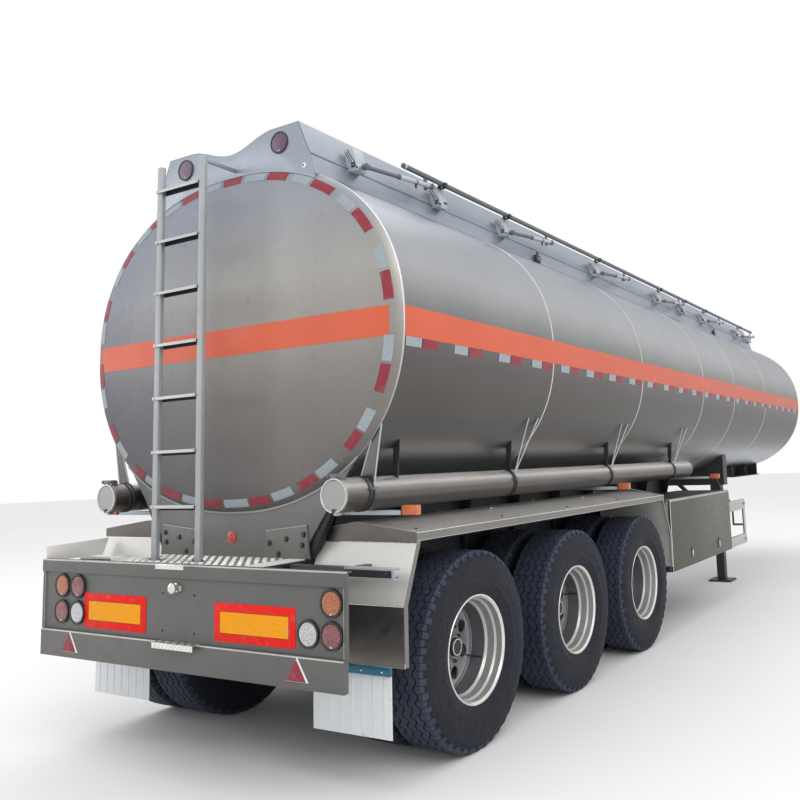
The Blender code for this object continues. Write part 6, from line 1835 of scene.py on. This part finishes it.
def rim_of_wheel(sizes):
    """Twin rims, disc with hand holes, nuts and hub, about the wheel's middle, outside towards +X."""
    piece = Piece("twin_rim")
    outer = 0.297
    origin = (0.0, 0.0, 0.0)
    flange = [
        (outer - 0.0083, 0.286), (outer - 0.0083, 0.2965), (outer - 0.0062, 0.2985), (outer - 0.002, 0.2985),
        (outer, 0.2965), (outer, 0.2905), (outer - 0.003, 0.2870), (outer - 0.010, 0.2800),
        (outer - 0.014, 0.2800), (outer - 0.014, 0.286)]
    piece.add("bright_metal", lathe(flange, "x", origin, 72, loop=True))
    barrel = [
        (outer - 0.010, 0.2855), (outer - 0.010, 0.2800), (outer - 0.045, 0.2765), (outer - 0.056, 0.2660),
        (outer - 0.098, 0.2620), (outer - 0.112, 0.2500), (outer - 0.112, 0.2855)]
    piece.add("rim_silver", lathe(barrel, "x", origin, 72, loop=True))
    well = [
        (outer - 0.112, 0.2855), (outer - 0.112, 0.2500), (0.098, 0.2450), (0.092, 0.2370), (0.060, 0.2340),
        (0.060, 0.2855)]
    piece.add("rim_shade", lathe(well, "x", origin, 72, loop=True))
    back = [(0.060, 0.2340), (0.060, 0.2860), (-0.2887, 0.2860), (-0.2887, 0.2965), (-0.2910, 0.2985),
            (-0.2960, 0.2985), (-0.2970, 0.2965), (-0.2970, 0.2800), (-0.2500, 0.2740), (-0.2400, 0.2440),
            (0.000, 0.2400)]
    piece.add("rim_silver", lathe(back, "x", origin, 72, loop=True))
    disc = [(0.068, 0.070), (0.068, 0.140), (0.062, 0.180), (0.066, 0.215), (0.080, 0.2350), (0.088, 0.2350),
            (0.078, 0.214), (0.076, 0.182), (0.082, 0.140), (0.086, 0.100), (0.086, 0.070)]
    holes = []
    for number in range(sizes.hand_holes):
        angle = 2 * math.pi * number / sizes.hand_holes + math.radians(26.0)
        spot = Vector((0.0, 0.184 * math.cos(angle), 0.184 * math.sin(angle)))
        holes.append(rod(spot + Vector((0.03, 0, 0)), spot + Vector((0.12, 0, 0)), 0.0380, 24))
    piece.add("disc_silver", cut_out(lathe(disc, "x", origin, 72, loop=True), holes))
    drum = [(-0.2697, 0.0480), (-0.2697, 0.2120), (-0.2660, 0.2150), (-0.020, 0.2150), (-0.010, 0.2100),
            (0.030, 0.1500), (0.060, 0.1300), (0.060, 0.0480)]
    piece.add("hole_dark", lathe(drum, "x", origin, 48, loop=True))
    hub = [(0.040, 0.0), (0.040, 0.108), (0.084, 0.106), (0.090, 0.096), (0.096, 0.070), (0.128, 0.062),
           (0.138, 0.060), (0.138, 0.0)]
    piece.add("disc_silver", lathe(hub, "x", origin, 40))
    cap = [(0.132, 0.0), (0.132, 0.054), (0.152, 0.052), (0.158, 0.046), (0.158, 0.0)]
    piece.add("black_plastic", lathe(cap, "x", origin, 36))
    ring = [(0.1555, 0.0465), (0.1595, 0.0455), (0.1600, 0.0420), (0.1560, 0.0410)]
    piece.add("enamel_white", lathe(ring, "x", origin, 36, loop=True))
    for number in range(10):
        angle = 2 * math.pi * (number + 0.5) / 10
        spot = Vector((0.080, 0.119 * math.cos(angle), 0.119 * math.sin(angle)))
        piece.add("nut_steel", bolt(spot, (1, 0, 0), 0.012, 0.018))
        piece.add("nut_steel", rod(spot, spot + Vector((0.026, 0, 0)), 0.007, 10, bevel=0.001))
    stem = [(0.078, 0.200, -0.090), (0.110, 0.214, -0.094), (0.150, 0.222, -0.098), (0.178, 0.228, -0.100)]
    piece.add("black_plastic", pipe(stem, 0.004, 8))
    piece.add("bright_metal", rod(stem[-1], (0.190, 0.231, -0.101), 0.0055, 10, bevel=0.001))
    return piece


def tread_block(radius, depth, outline):
    """Block of tread: an outline of (round, across) points, raised from the groove floor."""
    shape = slab(outline, "z", radius - depth - 0.002, radius)
    for vert in shape.verts:
        angle = vert.co.x / radius
        height = vert.co.z
        vert.co = (vert.co.y, height * math.sin(angle), height * math.cos(angle))
    return shape


def tyre(sizes):
    """Tyre with zigzag ribs and notched shoulders, about its own middle, round the X axis."""
    piece = Piece("tyre")
    floor = tyre_radius - sizes.tread_depth
    bead = 0.2863
    side = [(-0.1148, bead), (-0.1250, 0.300), (-0.1400, 0.330), (-0.1470, 0.358), (-0.1488, 0.362),
            (-0.1488, 0.366), (-0.1480, 0.370), (-0.1498, 0.400), (-0.1494, 0.430), (-0.1496, 0.436),
            (-0.1486, 0.442), (-0.1465, 0.465), (-0.1420, 0.486), (-0.1340, 0.508), (-0.1200, floor - 0.004),
            (-0.1120, floor)]
    section_line = side + [(-across, radius) for across, radius in reversed(side)]
    piece.add("tyre_rubber", lathe(section_line, "x", (0.0, 0.0, 0.0), 96, loop=True))
    pitch = 2 * math.pi * tyre_radius / sizes.tread_pitches
    gap, swing = 0.0007, 0.0105
    cell = bmesh.new()
    for middle in (-0.052, 0.0, 0.052):
        half = 0.0205
        for start, shift in ((0.0, -swing), (pitch / 2, swing)):
            near, far, lean = start + gap, start + pitch * 0.5 - gap, pitch * 0.12
            outline = [
                (near, middle - half), (near + lean, middle - half + shift),
                (far - lean, middle - half + shift), (far, middle - half), (far, middle + half),
                (far - lean, middle + half + shift), (near + lean, middle + half + shift),
                (near, middle + half)]
            merged(cell, tread_block(tyre_radius, sizes.tread_depth, outline))
    for sign in (-1, 1):
        for start, shift in ((0.0, -swing), (pitch / 2, swing)):
            near, far, lean = start + gap * 2, start + pitch * 0.5 - gap * 2, pitch * 0.12
            edge, inner = 0.1185 + sign * shift * 0.15, sign * 0.0835
            outline = [(near, inner), (near + lean, inner + shift), (far - lean, inner + shift), (far, inner),
                       (far, sign * edge), (near, sign * edge)]
            merged(cell, tread_block(tyre_radius - 0.0004, sizes.tread_depth, outline))
            lug = slab(
                [(near, 0.0), (far, 0.0), (far - 0.002, 0.024 + shift * 0.6),
                    (near + 0.002, 0.024 + shift * 0.6)], "z", 0.0, 0.0065)
            for vert in lug.verts:
                angle, down, out = vert.co.x / tyre_radius, vert.co.y, vert.co.z
                across = edge + down * 0.56 + (out - 0.0065) * 0.85
                height = tyre_radius - 0.0005 - down - (0.0065 - out) * 0.5
                vert.co = (sign * across, height * math.sin(angle), height * math.cos(angle))
            bmesh.ops.recalc_face_normals(lug, faces=lug.faces)
            merged(cell, lug)
    step = 2 * math.pi / sizes.tread_pitches
    bmesh.ops.spin(cell, geom=cell.verts[:] + cell.edges[:] + cell.faces[:], cent=(0, 0, 0), axis=(1, 0, 0),
                   dvec=(0, 0, 0), angle=step * (sizes.tread_pitches - 1), steps=sizes.tread_pitches - 1,
                   use_duplicate=True)
    bmesh.ops.recalc_face_normals(cell, faces=cell.faces)
    piece.add("tread_rubber", cell)
    return piece


class TANKER_OT_wheels(PieceOperator, bpy.types.Operator):
    """Twin rims on six hubs, and the tyres with their tread"""

    bl_idname = "tanker.wheels"
    bl_label = "Wheels and tyres"

    def build(self, context):
        sizes = context.scene.tanker_sizes
        rim, rubber_piece = rim_of_wheel(sizes), tyre(sizes)
        turn = 0
        for number, y in enumerate(axle_ys, 1):
            for side, name in ((1, "right"), (-1, "left")):
                body = f"wheel_{number}_{name}"
                spun = Matrix.Rotation(math.radians(11.0 + 14.0 * turn) if turn else 0.0, 4, "X")
                centre = Matrix.Translation((side * wheel_x, y, tyre_radius))
                rim.place("rim_silver", body, [body], side < 0, 32.0, f"twin_rim_{number}_{name}",
                          centre @ spun)
                for place, offset in (("outer", twin_half), ("inner", -twin_half)):
                    spot = Matrix.Translation((side * (wheel_x + offset), y, tyre_radius))
                    twist = Matrix.Rotation(math.radians(23.0 * turn + (4.0 if offset > 0 else 0.0)), 4, "X")
                    rubber_piece.place("tyre_rubber", body, [f"tyre_{number}_{name}_{place}"], False, 28.0,
                                       f"tread_tyre_{number}_{name}_{place}", spot @ twist)
                turn += 1


# ---- Panel and run ----

piece_operators = (
    TANKER_OT_stage, TANKER_OT_tank, TANKER_OT_stripes, TANKER_OT_blocks, TANKER_OT_coaming,
    TANKER_OT_handrail, TANKER_OT_walkway, TANKER_OT_lids, TANKER_OT_ladder, TANKER_OT_rear_end,
    TANKER_OT_saddle, TANKER_OT_rails, TANKER_OT_running_gear, TANKER_OT_fenders, TANKER_OT_hose_tubes,
    TANKER_OT_toolboxes, TANKER_OT_wheels,
)


class TANKER_PT_looks(bpy.types.Panel):
    """Settings and pieces of the tanker trailer"""

    bl_idname = "TANKER_PT_looks"
    bl_label = "Tanker Trailer"
    bl_space_type = "VIEW_3D"
    bl_region_type = "UI"
    bl_category = "Tanker"

    def draw(self, context):
        column = self.layout.column()
        for group in (context.scene.tanker_finishes, context.scene.tanker_sizes):
            for setting in group.bl_rna.properties.keys():
                if setting not in ("name", "rna_type"):
                    column.prop(group, setting)
        for operator in piece_operators:
            column.operator(operator.bl_idname)


classes = (TankerFinishes, TankerSizes) + piece_operators + (TANKER_PT_looks,)


def register():
    for made in classes:
        bpy.utils.register_class(made)
    bpy.types.Scene.tanker_finishes = PointerProperty(type=TankerFinishes)
    bpy.types.Scene.tanker_sizes = PointerProperty(type=TankerSizes)


def unregister():
    del bpy.types.Scene.tanker_sizes
    del bpy.types.Scene.tanker_finishes
    for made in reversed(classes):
        bpy.utils.unregister_class(made)


def main():
    register()
    for operator in piece_operators:
        family, name = operator.bl_idname.split(".")
        getattr(getattr(bpy.ops, family), name)()


if __name__ == "__main__":
    main()
